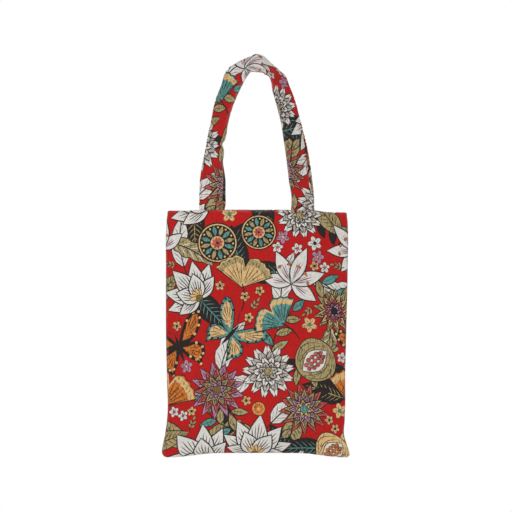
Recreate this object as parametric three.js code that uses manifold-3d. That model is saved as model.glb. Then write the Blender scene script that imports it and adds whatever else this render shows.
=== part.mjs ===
// Flat tote bag of heavy jacquard cloth: two printed panels sewn at the sides and the bottom, a facing and
// a lining inside, and two flat cloth handles whose ends are sewn inside the mouth.
// Millimetres, +Z up, front of the bag towards -Y. The origin is the top of the clear loop under the handles,
// where a hook or a hand holds the bag, so the bag hangs below it.
import * as THREE from "three";
import { mergeVertices } from "three/addons/utils/BufferGeometryUtils.js";
import Module from "manifold-3d";

const wasm = await Module();
wasm.setup();

// Bag outline, seen from the front
const bagWidth = 294;
const bagHeight = 400;
const cornerRadius = 8;
const cornerFlare = 5.5; // the bottom corners stand out past the sides
const flareReach = 18;
const waistDraw = 4; // the filled belly draws the sides in
const waistHeight = 64;
const waistReach = 48;
const mouthDraw = 2; // the sides draw in again at the mouth
const mouthReach = 12;
const bottomRise = 5; // the bottom edge is higher in the middle than at the corners
const mouthDrop = 4; // the mouth sinks at the side seams, away from the handles

// Depth of one half, from the side seams' plane to the panel's inner face
const bellyDepth = 29;
const bellyHeight = 105;
const mouthDepth = 25;

// Cloth and sewing
const clothThickness = 1.0;
const liningThickness = 0.7; // with its light backing
const liningGap = 0.2; // from the side seams' plane to the lining, where its two halves are sewn together
const seamAllowance = 10;
const facingHeight = 36;
const threadWidth = 0.8;
const threadHeight = 0.5;
const topstitchInset = 4; // from the mouth edge down to the topstitch
const facingStitchInset = 3; // from the facing's lower edge up to its stitch
const clearance = 0.35; // between two layers that lie on each other

// Handles
const strapWidth = 38;
const strapThickness = 3.8;
const legSpacing = 147; // between the middles of one handle's two legs at the mouth
const archRise = 236; // from the mouth to the middle of the strap at its top
const ridgeGap = 3; // between the two handles where they lean together
const crownTilt = THREE.MathUtils.degToRad(45); // the strap leans back where a hook holds it
const leftTwist = { from: 0.12, to: 0.62 }; // shares of the rise over which each leg turns
const rightTwist = { from: 0.3, to: 0.98 };
const backHandleShift = 3; // the back handle hangs a little to the right of the front one
const interliningThickness = 1.1;
const edgeStitchInset = 4; // from the strap's edges to its two rows of stitches
const boxStitchMargin = 4; // from the handle end's edges to the box stitch
const endMargin = 3; // from the handle end's lower edge to the facing's stitch

// How finely the curved cloth is divided
const panelColumns = 20;
const panelRows = 16;
const liningColumns = 12;
const liningRows = 12;
const stripRows = 2; // of the facing and the handle ends
const strapSteps = 44;
const strapColumns = 4;

// Places that follow from the sizes above
const seamPly = clothThickness; // each side seam is two plies of turned-in cloth
const seamGap = seamPly + clearance; // from the side seams' plane to the panel's inner face at a seam
const endLength = facingHeight - facingStitchInset - threadWidth - endMargin;
const crownHalf = (strapWidth / 2) * Math.cos(crownTilt) + (strapThickness / 2) * Math.sin(crownTilt);
const mouthZ = -(archRise + clearance - crownHalf);
const bottomZ = mouthZ - bagHeight;

const { lerp, smoothstep } = THREE.MathUtils;

const printedCloth = new THREE.MeshStandardMaterial({ color: "#b0222a", roughness: 0.9, metalness: 0 });
const plainLining = new THREE.MeshStandardMaterial({ color: "#3a2a2a", roughness: 0.85, metalness: 0 });
const interliningFelt = new THREE.MeshStandardMaterial({ color: "#d8d2c4", roughness: 1, metalness: 0 });
const sewingThread = new THREE.MeshStandardMaterial({ color: "#8e1b22", roughness: 0.7, metalness: 0 });

// Half of the bag's width at a height above the bottom edge.
function halfWidthAt(height) {
  const round = Math.max(cornerRadius - height, 0);
  return (
    bagWidth / 2 +
    cornerFlare * Math.exp(-height / flareReach) -
    waistDraw * Math.exp(-(((height - waistHeight) / waistReach) ** 2)) -
    mouthDraw * Math.exp(-(bagHeight - height) / mouthReach) -
    (cornerRadius - Math.sqrt(cornerRadius ** 2 - round ** 2))
  );
}

// How far a half stands out on its middle line, at a height above its bottom seam.
function depthAt(height) {
  const fill = 1 - (1 - Math.min(height / bellyHeight, 1)) ** 2.2;
  return fill * lerp(bellyDepth, mouthDepth, smoothstep(height, bellyHeight, bagHeight));
}

// Columns of cloth, closer to each other towards the sides, where the cloth curves most.
function column(u) {
  return u * (1.5 - 0.5 * u ** 2);
}

// The share of that depth at a place from -1 to 1 across the width.
function bulge(across) {
  return (1 - Math.min(Math.abs(across), 1) ** 3) ** 0.9;
}

// The height in the part's frame of a place on the bag's outline surface.
function levelAt(across, height) {
  const low = bottomZ + bottomRise * (1 - Math.abs(across) ** 3);
  const high = mouthZ - mouthDrop * across ** 4;
  return lerp(low, high, height / bagHeight);
}

// A point on the front panel's inner face, moved outwards by lift.
function onPanel(across, height, lift) {
  const y = seamGap + depthAt(height) * bulge(across) + lift;
  return new THREE.Vector3(across * halfWidthAt(height), -y, levelAt(across, height));
}

// The same, for a place given by its distance from the middle line.
function onPanelAt(x, height, lift) {
  return onPanel(x / halfWidthAt(height), height, lift);
}

// A closed slab bent to shape: place maps (-1 to 1, back to front, 0 to 1) to a point.
function bentSlab(columns, rows, place) {
  const slab = new THREE.BoxGeometry(2, 1, 1, columns, 1, rows);
  const points = slab.attributes.position;
  for (let i = 0; i < points.count; i++) {
    const point = place(points.getX(i), 0.5 - points.getY(i), points.getZ(i) + 0.5);
    points.setXYZ(i, point.x, point.y, point.z);
  }
  slab.computeVertexNormals();
  return slab;
}

function solid(geometry) {
  const bare = geometry.clone();
  bare.deleteAttribute("normal");
  bare.deleteAttribute("uv");
  const merged = mergeVertices(bare);
  return new wasm.Manifold(
    new wasm.Mesh({
      numProp: 3,
      vertProperties: merged.attributes.position.array,
      triVerts: new Uint32Array(merged.index.array),
    }),
  );
}

function subtract(whole, cut) {
  const result = solid(whole).subtract(solid(cut)).getMesh();
  const geometry = new THREE.BufferGeometry();
  geometry.setAttribute("position", new THREE.BufferAttribute(result.vertProperties, 3));
  geometry.setIndex(new THREE.BufferAttribute(result.triVerts, 1));
  geometry.computeVertexNormals();
  return geometry;
}

function piece(name, geometry, material) {
  const mesh = new THREE.Mesh(geometry, material);
  mesh.name = name;
  return mesh;
}

// Panel, from its bottom seam to the mouth edge. Its rows are closer near the bottom, where it curves most.
function panel() {
  return bentSlab(panelColumns, panelRows, (u, out, v) => {
    return onPanel(column(u), v ** 1.5 * bagHeight, out * clothThickness);
  });
}

// How far a piece inside the panel reaches sideways before it meets the side seam's turned-in cloth.
function insideReach(height) {
  return 1 - (seamAllowance + clearance) / halfWidthAt(height);
}

// Facing: a strip of the same cloth behind the mouth edge.
function facing() {
  return bentSlab(panelColumns, stripRows, (u, out, v) => {
    const height = bagHeight - facingHeight * (1 - v);
    return onPanel(column(u) * insideReach(height), height, (out - 1) * clothThickness - clearance);
  });
}

// Lining: half of a smaller bag inside the seams, from its own bottom seam up to the facing.
function lining() {
  const low = seamAllowance + clearance;
  const high = bagHeight - facingHeight - clearance;
  return bentSlab(liningColumns, liningRows, (u, out, v) => {
    const height = lerp(low, high, v ** 1.5);
    const across = column(u) * insideReach(height);
    const depth = Math.min(depthAt(height - low), depthAt(height));
    const y = liningGap + depth * bulge(column(u)) + out * liningThickness;
    return new THREE.Vector3(across * halfWidthAt(height), -y, levelAt(across, height));
  });
}

// A row of stitches along the mouth: lift is the thread's back face above the panel's inner face.
function mouthStitch(inset, lift) {
  return bentSlab(panelColumns, 1, (u, out, v) => {
    const height = bagHeight - inset + (v - 0.5) * threadWidth;
    return onPanel(column(u) * insideReach(height), height, lift + out * threadHeight);
  });
}

// Behind the facing's own back face, measured as lift from the panel's inner face.
const facingBack = -(clearance + clothThickness);
const endBack = facingBack - clearance - strapThickness;

// Handle end: the part of the strap that is sewn flat on the back of the facing.
function handleEnd(legX) {
  return bentSlab(strapColumns, stripRows, (u, out, v) => {
    const height = bagHeight - endLength * (1 - v);
    return onPanelAt(legX + (u * strapWidth) / 2, height, endBack + out * strapThickness);
  });
}

// Box stitch: a rectangle of thread with its diagonals, on the back of the handle end.
function boxStitch(legX) {
  const wide = strapWidth / 2 - boxStitchMargin;
  const tall = endLength / 2 - boxStitchMargin;
  const outline = new THREE.Shape();
  outline.moveTo(-wide, -tall).lineTo(wide, -tall).lineTo(wide, tall).lineTo(-wide, tall).closePath();
  const slope = Math.atan2(tall, wide);
  const alongWide = threadWidth / 2 / Math.sin(slope); // half a diagonal's thread, measured sideways
  const alongTall = threadWidth / 2 / Math.cos(slope); // and measured up and down
  const innerWide = wide - threadWidth;
  const innerTall = tall - threadWidth;
  const sideTall = (innerWide - alongWide) * Math.tan(slope);
  const endWide = (innerTall - alongTall) / Math.tan(slope);
  for (const sign of [-1, 1]) {
    const beside = new THREE.Path();
    beside.moveTo(sign * alongWide, 0).lineTo(sign * innerWide, -sideTall);
    beside.lineTo(sign * innerWide, sideTall).closePath();
    const above = new THREE.Path();
    above.moveTo(0, sign * alongTall).lineTo(-endWide, sign * innerTall);
    above.lineTo(endWide, sign * innerTall).closePath();
    outline.holes.push(beside, above);
  }
  const thread = new THREE.ExtrudeGeometry(outline, { depth: threadHeight, bevelEnabled: false });
  const points = thread.attributes.position;
  for (let i = 0; i < points.count; i++) {
    const height = bagHeight - endLength / 2 + points.getY(i);
    const lift = endBack - clearance - threadHeight + points.getZ(i);
    const point = onPanelAt(legX + points.getX(i), height, lift);
    points.setXYZ(i, point.x, point.y, point.z);
  }
  thread.computeVertexNormals();
  return thread;
}

// Where the strap leaves the mouth: the middle of the handle end's thickness, and the turn of the cloth there.
const legLift = endBack + strapThickness / 2;
const legY = onPanelAt(legSpacing / 2, bagHeight, legLift).y;
const legTurn = Math.atan2(
  onPanelAt(legSpacing / 2 + strapWidth / 2, bagHeight, 0).y -
    onPanelAt(legSpacing / 2 - strapWidth / 2, bagHeight, 0).y,
  strapWidth,
);
const crownY = -(
  ridgeGap / 2 +
  (strapWidth / 2) * Math.sin(crownTilt) +
  (strapThickness / 2) * Math.cos(crownTilt)
);

// A point on the front strap: share runs from the left leg over the top to the right leg, across from the
// inner edge (-) to the outer edge (+), and lift out of the strap's front face.
function onStrap(share, across, lift) {
  const turn = 2 * share - 1;
  const angle = (Math.PI / 2) * (1 - turn * (1.25 - 0.25 * turn ** 2)); // shorter steps on the legs
  const rise = Math.sin(angle);
  const twist = share < 0.5 ? leftTwist : rightTwist;
  const tilt = lerp(legTurn, crownTilt, smoothstep(rise, twist.from, twist.to));
  const away = new THREE.Vector3(
    Math.cos(angle) / (legSpacing / 2),
    0,
    Math.sin(angle) / archRise,
  ).normalize();
  const back = new THREE.Vector3(0, 1, 0);
  const wide = away.clone().multiplyScalar(Math.cos(tilt)).addScaledVector(back, Math.sin(tilt));
  const out = away.clone().multiplyScalar(Math.sin(tilt)).addScaledVector(back, -Math.cos(tilt));
  return new THREE.Vector3(
    (legSpacing / 2) * Math.cos(angle),
    lerp(legY, crownY, smoothstep(rise, 0, 1)),
    mouthZ + clearance + archRise * rise,
  )
    .addScaledVector(wide, across)
    .addScaledVector(out, lift);
}

// A strip along the strap, between two places across it and two lifts out of its face. Its two ends reach
// down past the strap's by over.
function strapStrip(columns, inner, outer, low, high, over = 0) {
  return bentSlab(columns, strapSteps, (u, out, v) => {
    const across = lerp(outer, inner, (u + 1) / 2);
    const point = onStrap(v, across, lerp(low, high, out));
    if (v === 0 || v === 1) point.z -= over;
    return point;
  });
}

// Strap: a strip of cloth wrapped round its interlining, open at both ends.
function strapWrap() {
  const wide = strapWidth / 2;
  const thick = strapThickness / 2;
  const whole = strapStrip(strapColumns, -wide, wide, -thick, thick);
  const inWide = wide - clothThickness;
  const inThick = thick - clothThickness;
  const cavity = strapStrip(strapColumns, -inWide, inWide, -inThick, inThick, clearance);
  return subtract(whole, cavity);
}

function strapInterlining() {
  const wide = strapWidth / 2 - clothThickness - clearance;
  const thick = interliningThickness / 2;
  return strapStrip(strapColumns, -wide, wide, -thick, thick);
}

// A row of stitches along one edge of the strap's front face, from the inner (-1) or the outer (1) edge.
function strapStitch(edge) {
  const middle = edge * (strapWidth / 2 - edgeStitchInset);
  const low = strapThickness / 2 + clearance;
  const half = threadWidth / 2;
  return strapStrip(1, middle - half, middle + half, low, low + threadHeight);
}

// Side seam: the turned-in edges of both panels, from the bottom seam to the mouth.
function sideSeam(side) {
  const low = seamAllowance + clearance;
  return bentSlab(1, panelRows, (u, out, v) => {
    const height = lerp(low, bagHeight, v);
    const half = halfWidthAt(height);
    const from = side < 0 ? -half : half - seamAllowance;
    const x = from + ((u + 1) / 2) * seamAllowance;
    return new THREE.Vector3(x, lerp(seamPly, -seamPly, out), levelAt(side, height));
  });
}

// Bottom seam: the same along the bottom edge, between the two side seams.
function bottomSeam() {
  const whole = halfWidthAt(seamAllowance);
  const half = whole - seamAllowance - clearance;
  return bentSlab(panelColumns, 1, (u, out, v) => {
    const level = levelAt((u * half) / whole, 0) + v * seamAllowance;
    return new THREE.Vector3(u * half, lerp(seamPly, -seamPly, out), level);
  });
}

// One half of the bag with its handle, made as the front.
function bagHalf(side) {
  const half = new THREE.Group();
  half.add(
    piece(`${side}_panel`, panel(), printedCloth),
    piece(`${side}_facing`, facing(), printedCloth),
    piece(`${side}_lining`, lining(), plainLining),
    piece(
      `${side}_mouth_topstitch`,
      mouthStitch(topstitchInset, clothThickness + clearance),
      sewingThread,
    ),
    piece(
      `${side}_facing_stitch`,
      mouthStitch(facingHeight - facingStitchInset, facingBack - clearance - threadHeight),
      sewingThread,
    ),
  );
  for (const [leg, sign] of [["left", -1], ["right", 1]]) {
    const legX = (sign * legSpacing) / 2;
    half.add(
      piece(`${side}_${leg}_handle_end`, handleEnd(legX), printedCloth),
      piece(`${side}_${leg}_box_stitch`, boxStitch(legX), sewingThread),
    );
  }
  const handle = new THREE.Group();
  handle.add(
    piece(`${side}_handle_wrap`, strapWrap(), printedCloth),
    piece(`${side}_handle_interlining`, strapInterlining(), interliningFelt),
    piece(`${side}_handle_inner_stitch`, strapStitch(-1), sewingThread),
    piece(`${side}_handle_outer_stitch`, strapStitch(1), sewingThread),
  );
  half.add(handle);
  return { half, handle };
}

const bag = new THREE.Group();
const front = bagHalf("front");
const back = bagHalf("back");
back.half.scale.y = -1; // the back half is the front's mirror image
back.handle.position.x = backHandleShift;
bag.add(
  front.half,
  back.half,
  piece("left_side_seam", sideSeam(-1), printedCloth),
  piece("right_side_seam", sideSeam(1), printedCloth),
  piece("bottom_seam", bottomSeam(), printedCloth),
);

export default bag;
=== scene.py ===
import cmath
import math
import random

import bpy
import numpy as np
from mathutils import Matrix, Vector, geometry


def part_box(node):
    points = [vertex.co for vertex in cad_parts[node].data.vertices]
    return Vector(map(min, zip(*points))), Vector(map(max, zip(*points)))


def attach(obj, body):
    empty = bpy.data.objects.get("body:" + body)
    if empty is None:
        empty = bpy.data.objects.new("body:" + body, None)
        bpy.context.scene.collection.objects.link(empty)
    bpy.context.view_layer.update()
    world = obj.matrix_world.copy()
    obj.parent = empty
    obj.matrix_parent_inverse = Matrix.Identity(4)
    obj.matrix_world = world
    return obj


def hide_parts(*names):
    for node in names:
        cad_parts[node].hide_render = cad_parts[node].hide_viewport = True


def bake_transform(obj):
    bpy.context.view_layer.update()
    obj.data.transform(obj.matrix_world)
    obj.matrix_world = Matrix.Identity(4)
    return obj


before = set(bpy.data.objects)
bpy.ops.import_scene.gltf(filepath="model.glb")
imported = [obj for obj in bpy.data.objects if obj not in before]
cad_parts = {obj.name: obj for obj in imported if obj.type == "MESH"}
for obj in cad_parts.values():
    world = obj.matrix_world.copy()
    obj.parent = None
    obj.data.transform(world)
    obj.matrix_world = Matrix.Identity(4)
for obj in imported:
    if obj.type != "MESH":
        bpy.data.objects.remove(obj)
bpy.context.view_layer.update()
scene = bpy.context.scene
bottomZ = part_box("front_panel")[0][2] * 1000  # sizes below are millimetres, meshes are metres
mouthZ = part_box("front_panel")[1][2] * 1000
print("frame loaded:", len(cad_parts), "solids")


def linear(hexText):
    parts = [int(hexText[k:k + 2], 16) / 255 for k in (1, 3, 5)]
    return tuple(p / 12.92 if p <= 0.04045 else ((p + 0.055) / 1.055) ** 2.4 for p in parts) + (1.0,)


def addNode(tree, kind, links=None, **settings):
    node = tree.nodes.new(kind)
    for name, value in settings.items():
        setattr(node, name, value)
    for socket, value in (links or {}).items():
        if isinstance(value, bpy.types.NodeSocket):
            tree.links.new(value, node.inputs[socket])
        else:
            node.inputs[socket].default_value = value
    return node


def newMaterial(name):
    material = bpy.data.materials.new(name)
    material.use_nodes = True
    material.node_tree.nodes.clear()
    return material, material.node_tree


def newObject(name, data):
    thing = bpy.data.objects.new(name, data)
    scene.collection.objects.link(thing)
    return thing


def plainWeave(tree, look):
    # over and under threads, one crossing per square of the cloth's own map, smoother on top of each thread
    cloth = addNode(tree, "ShaderNodeUVMap", uv_map="cloth").outputs["UV"]
    cells = addNode(tree, "ShaderNodeVectorMath", {0: cloth, 1: (1000 / look["threadPitch"],) * 3},
                    operation="MULTIPLY").outputs[0]
    split = addNode(tree, "ShaderNodeSeparateXYZ", {0: cells})
    ribs = []
    for axis in ("X", "Y"):
        turn = addNode(tree, "ShaderNodeMath", {0: split.outputs[axis], 1: math.pi},
                       operation="MULTIPLY").outputs[0]
        wave = addNode(tree, "ShaderNodeMath", {0: turn}, operation="SINE").outputs[0]
        ribs.append(addNode(tree, "ShaderNodeMath", {0: wave}, operation="ABSOLUTE").outputs[0])
    square = addNode(tree, "ShaderNodeVectorMath", {0: cells}, operation="FLOOR").outputs[0]
    which = addNode(tree, "ShaderNodeTexChecker", {"Vector": cells, "Scale": 1.0}).outputs["Fac"]
    relief = addNode(tree, "ShaderNodeMix", {0: which, 2: ribs[0], 3: ribs[1]}).outputs[0]
    between, onTop = look["roughness"]
    rough = addNode(tree, "ShaderNodeMapRange", {
        "Value": relief, "To Min": between, "To Max": onTop}).outputs["Result"]
    return cloth, square, relief, rough


def finishMaterial(tree, look, colour, relief, rough):
    # threads or fibres stand up from the surface, and their fuzz catches some light at its edges
    bump = addNode(tree, "ShaderNodeBump", {
        "Height": relief, "Strength": look["relief"], "Distance": look["reliefHeight"] / 1000})
    shader = addNode(tree, "ShaderNodeBsdfPrincipled", {
        "Base Color": colour, "Roughness": rough, "Normal": bump.outputs["Normal"], "IOR": 1.5,
        "Specular IOR Level": look["specular"], "Sheen Weight": look["sheen"]})
    addNode(tree, "ShaderNodeOutputMaterial", {"Surface": shader.outputs[0]})


# The print is drawn as flat outlines on the complex plane, in millimetres of cloth.
gardenPrint = {
    "tile": (320, 420),
    "seed": 4,
    "spread": 1.12,  # room kept around the large motifs
    "pushes": 500,
    "cell": 4,  # spacing of the points at which the ground is looked at for a free place
    "smallTries": 1500,
    "colours": {
        "red": "#B61C1B", "ink": "#2B2423", "white": "#D9D5CF", "pearl": "#B9B0A6",
        "cream": "#D8B37C", "khaki": "#A8976A", "olive": "#80683A", "teal": "#5C938C", "orange": "#CB7430",
        "pink": "#B9869F", "salmon": "#BF5B52",
    },
    # share of darker threads that come up in a fill
    "mixed": {
        "pearl": 0.16, "cream": 0.1, "khaki": 0.26, "olive": 0.26, "teal": 0.2, "orange": 0.2,
        "pink": 0.22, "salmon": 0.28,
    },
}
dyes = {name: linear(value)[:3] + (gardenPrint["mixed"].get(name, 0.0),)
        for name, value in gardenPrint["colours"].items()}


jacquardLook = {
    "threadPitch": 2.0,  # real threads are 0.5 mm, drawn four times as coarse so that they show
    "threadTone": 0.1,  # how far one thread's colour may stand from the next
    "fadeSize": 71.4,  # the dye took unevenly, in patches of this size
    "fade": 0.07,
    "float": (1.5, 4.2),  # a thread of another colour that comes up in a mixed fill: width and length
    "floatDark": 0.55,
    "relief": 0.35,
    "reliefHeight": 0.5,
    "roughness": (0.96, 0.81),  # between the threads and on top of them
    "specular": 0.15,
    "sheen": 0.05,
    "wear": 0.55,  # how much of the dye is rubbed off where the cloth turns over
    "wearSize": 14.3,  # it is rubbed off in patches of this size
    "wearEdge": (0.3, 0.7),  # and these end softly
    "lint": "#A8A29C",
}


def wovenJacquardCotton():
    # dyed cotton threads woven into the picture: flat fills, grainy by a thread's width, dull, a little fuzz
    look = jacquardLook
    material, tree = newMaterial("wovenJacquardCotton")
    cloth, square, relief, rough = plainWeave(tree, look)
    dye = addNode(tree, "ShaderNodeAttribute", attribute_name="printColour").outputs["Color"]
    grain = addNode(tree, "ShaderNodeTexWhiteNoise", {"Vector": square},
                    noise_dimensions="3D").outputs["Value"]
    low, high = 1 - look["threadTone"], 1 + look["threadTone"]
    tone = addNode(tree, "ShaderNodeMapRange", {
        "Value": grain, "To Min": low, "To Max": high}).outputs["Result"]
    place = addNode(tree, "ShaderNodeTexCoord").outputs["Object"]
    drift = addNode(tree, "ShaderNodeTexNoise", {
        "Vector": place, "Scale": 1000 / look["fadeSize"], "Detail": 2.0}).outputs["Fac"]
    fade = addNode(tree, "ShaderNodeMapRange", {
        "Value": drift, "To Min": 1 - look["fade"], "To Max": 1 + look["fade"]}).outputs["Result"]
    both = addNode(tree, "ShaderNodeMath", {0: tone, 1: fade}, operation="MULTIPLY").outputs[0]
    colour = addNode(tree, "ShaderNodeVectorMath", {0: dye, "Scale": both}, operation="SCALE").outputs[0]
    wide, long = look["float"]
    cells = addNode(tree, "ShaderNodeVectorMath", {0: cloth, 1: (1000 / wide, 1000 / long, 1)},
                    operation="MULTIPLY").outputs[0]
    single = addNode(tree, "ShaderNodeVectorMath", {0: cells}, operation="FLOOR").outputs[0]
    draw = addNode(tree, "ShaderNodeTexWhiteNoise", {"Vector": single},
                   noise_dimensions="3D").outputs["Value"]
    mixed = addNode(tree, "ShaderNodeAttribute", attribute_name="threadMix").outputs["Fac"]
    up = addNode(tree, "ShaderNodeMath", {0: draw, 1: mixed}, operation="LESS_THAN").outputs[0]
    dark = addNode(tree, "ShaderNodeMath", {0: up, 1: look["floatDark"]}, operation="MULTIPLY").outputs[0]
    colour = addNode(tree, "ShaderNodeMix", {0: dark, 6: colour, 7: dyes["ink"]},
                     data_type="RGBA").outputs[2]
    rubbed = addNode(tree, "ShaderNodeAttribute", attribute_name="edgeWear").outputs["Fac"]
    patchy = addNode(tree, "ShaderNodeTexNoise", {
        "Vector": place, "Scale": 1000 / look["wearSize"], "Detail": 3.0}).outputs["Fac"]
    low, high = look["wearEdge"]
    share = addNode(tree, "ShaderNodeMapRange", {
        "Value": patchy, "From Min": low, "From Max": high, "To Min": 0.0,
        "To Max": look["wear"]}).outputs["Result"]
    worn = addNode(tree, "ShaderNodeMath", {0: rubbed, 1: share}, operation="MULTIPLY").outputs[0]
    colour = addNode(tree, "ShaderNodeMix", {0: worn, 6: colour, 7: linear(look["lint"])},
                     data_type="RGBA").outputs[2]
    finishMaterial(tree, look, colour, relief, rough)
    return material


liningLook = {
    "thin": "#561418",
    "thick": "#6E1B20",
    "threadPitch": 1.6,  # real pitch 0.4 mm, coarser so that it shows
    "slub": (1.667, 83.3),  # width and length of a thick place
    "relief": 0.25,
    "reliefHeight": 0.4,
    "roughness": (0.88, 0.76),
    "specular": 0.3,
    "sheen": 0.06,
}


def plainWovenLining():
    # thin dyed plain weave, even and matte, with slubs that run along single threads
    look = liningLook
    material, tree = newMaterial("plainWovenLining")
    cloth, _, relief, rough = plainWeave(tree, look)
    wide, long = look["slub"]
    cells = addNode(tree, "ShaderNodeVectorMath", {0: cloth, 1: (1000 / wide, 1000 / long, 1.0)},
                    operation="MULTIPLY").outputs[0]
    slub = addNode(tree, "ShaderNodeTexNoise", {"Vector": cells, "Scale": 1.0, "Detail": 3.0}).outputs["Fac"]
    tint = addNode(tree, "ShaderNodeMix", {0: slub, 6: linear(look["thin"]), 7: linear(look["thick"])},
                   data_type="RGBA").outputs[2]
    finishMaterial(tree, look, tint, relief, rough)
    return material


feltLook = {
    # deep is the felt's white darkened as painted shade in the low places of the nap, as well as uneven fibre
    "deep": "#CFC9BC",
    "raised": "#EDE9E0",
    "nap": 1.43,  # size of a tuft of fibres
    "relief": 0.5,
    "reliefHeight": 0.4,
    "roughness": 0.97,
    "specular": 0.5,
    "sheen": 0.1,
}


def needledFelt():
    # short white fibres needled into a mat: no gloss, a soft uneven nap, its white partly uneven fibre and
    # partly painted shade in the nap's low places
    look = feltLook
    material, tree = newMaterial("needledFeltInterlining")
    place = addNode(tree, "ShaderNodeTexCoord").outputs["Object"]
    nap = addNode(tree, "ShaderNodeTexNoise", {
        "Vector": place, "Scale": 1000 / look["nap"], "Detail": 4.0}).outputs["Fac"]
    # the same nap that makes the bump paints shade into its low places
    tint = addNode(tree, "ShaderNodeMix", {0: nap, 6: linear(look["deep"]), 7: linear(look["raised"])},
                   data_type="RGBA").outputs[2]
    finishMaterial(tree, look, tint, nap, look["roughness"])
    return material


threadLook = {
    # painted shade and highlight: the thread's dye darker where the plies meet, lighter along the top of each
    # ply
    "between": "#7C1519",
    "plyPaintedHighlight": "#A92227",
    "ply": 1.795,  # one turn of the plies, drawn three times as long as the real one so that it shows
    "relief": 0.4,
    "reliefHeight": 0.2,
    "roughness": 0.55,
    "specular": 0.5,
    "sheen": 0.1,
}


def twistedThread():
    # two-ply polyester in one dye: a painted highlight along each ply and painted shade where the plies meet
    look = threadLook
    material, tree = newMaterial("twistedPolyesterThread")
    place = addNode(tree, "ShaderNodeTexCoord").outputs["Object"]
    perMetre = 1000 * math.tau / 10 / look["ply"]  # the wave node turns by ten radians a unit
    ply = addNode(tree, "ShaderNodeTexWave", {"Vector": place, "Scale": perMetre, "Distortion": 1.0},
                  bands_direction="DIAGONAL").outputs["Fac"]
    # the ply wave paints shade into the grooves and a highlight onto the crests, over the same bump
    tint = addNode(tree, "ShaderNodeMix", {0: ply, 6: linear(look["between"]), 7: linear(look["plyPaintedHighlight"])},
                   data_type="RGBA").outputs[2]
    finishMaterial(tree, look, tint, ply, look["roughness"])
    return material


jacquardCloth = wovenJacquardCotton()
liningCloth = plainWovenLining()
feltStrip = needledFelt()
sewingThread = twistedThread()
print("materials made: jacquard, lining, felt, thread")


def spin(degrees):
    return cmath.exp(1j * math.radians(degrees))


def mirrored(points):
    return [complex(-p.real, p.imag) for p in reversed(points)]


def leafShape(length, width, skew=1.0, steps=8):
    right = []
    for k in range(1, steps):
        half = width / 2 * math.sin(math.pi * (k / steps) ** skew)
        right.append(complex(half, length * k / steps))
    return [0j] + right + [1j * length] + mirrored(right)


def petalShape(length, width, notch=0.0, steps=7):
    right = []
    for k in range(1, steps + 1):
        t = k / steps
        half = width / 2 * math.sin(math.pi * (0.04 + 0.9 * t ** 0.8)) ** 0.75
        right.append(complex(half, length * t ** 0.9))
    return [0j] + right + [1j * length * (1 - notch)] + mirrored(right)


def ring(radius, steps=24):
    return [cmath.rect(radius, 2 * math.pi * k / steps) for k in range(steps)]


def bow(a, b, sag, steps=6):
    rise = (b - a) * 1j * sag
    return [a + (b - a) * k / steps + rise * 4 * (k / steps) * (1 - k / steps) for k in range(steps + 1)]


def stroke(points, width, start=0.35, end=0.2):
    left, right = [], []
    last = len(points) - 1
    for k, p in enumerate(points):
        along = points[min(k + 1, last)] - points[max(k - 1, 0)]
        half = width / 2 * min(start + 3 * k / last, 1, end + 3 * (1 - k / last))
        side = 1j * along / (abs(along) or 1) * half
        left.append(p + side)
        right.append(p - side)
    return right + left[::-1]


def grown(points, by):
    out = []
    for k, p in enumerate(points):
        along = points[(k + 1) % len(points)] - points[k - 1]
        out.append(p - 1j * along / (abs(along) or 1) * by)
    return out


def moved(shapes, by, turn=0.0):
    m = spin(turn)
    return [(colour, [p * m + by for p in points]) for colour, points in shapes]


def inked(points, colour, line=1.7):
    return [("ink", grown(points, line)), (colour, points)]


def centred(shapes):
    xs = [p.real for _, points in shapes for p in points]
    ys = [p.imag for _, points in shapes for p in points]
    return moved(shapes, -complex(min(xs) + max(xs), min(ys) + max(ys)) / 2)


def whiteBloom(size):
    shapes = []
    back = [(-62, 0.98, 0.42), (62, 0.98, 0.42), (-34, 1.05, 0.46), (34, 1.05, 0.46), (0, 1.12, 0.5)]
    front = [(-80, 0.72, 0.36), (80, 0.72, 0.36), (-30, 0.7, 0.44), (30, 0.7, 0.44)]
    for row, low in ((back, 0.34), (front, 0.22)):
        for angle, reach, wide in row:
            long, broad = size * reach, size * wide
            petal = inked(leafShape(long, broad, 0.8, 9), "white", 2.0)
            for k in (-2, -1, 0, 1, 2):
                lean = k * broad * 0.16
                top = complex(lean * 1.05, long * (0.8 - 0.07 * abs(k)))
                line = bow(complex(lean * 0.35, long * low), top, -0.03 * k, 4)
                petal.append(("ink", stroke(line, 1.5 if k % 2 == 0 else 1.2)))
            shapes += moved(petal, 0j, -angle)
    for k in range(5):
        stamen = inked(leafShape(size * 0.3, size * 0.1, 0.8, 5), "cream", 1.0)
        shapes += moved(stamen, 0.02j * size, (k - 2) * 26)
    return shapes + inked(ring(size * 0.09, 12), "olive", 1.0)


def roundBloom(size, colours, heart, blunt=False):
    shapes = []
    rows = ((13, 1.0, 0.36), (12, 0.78, 0.31), (10, 0.56, 0.27), (7, 0.36, 0.22))
    for r, (count, reach, wide) in enumerate(rows):
        for k in range(count):
            long, broad = size * reach, size * wide
            outline = petalShape(long, broad, 0.1, 5) if blunt else leafShape(long, broad, 0.62, 6)
            petal = inked(outline, colours[r % len(colours)], 1.6)
            for lean in (-0.16, 0, 0.16):
                low = complex(lean * 0.5 * broad, 0.56 * long)
                high = complex(lean * broad, (0.9 - abs(lean)) * long)
                petal.append(("ink", stroke([low, (low + high) / 2, high], 1.3)))
            shapes += moved(petal, 0j, 360 * (k + 0.5 * (r % 2)) / count)
    shapes += inked(ring(size * 0.15, 14), heart, 1.0)
    for k in range(6):
        shapes.append(("ink", [p + cmath.rect(size * 0.09, k * 1.047) for p in ring(size * 0.018, 6)]))
    return shapes


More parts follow.
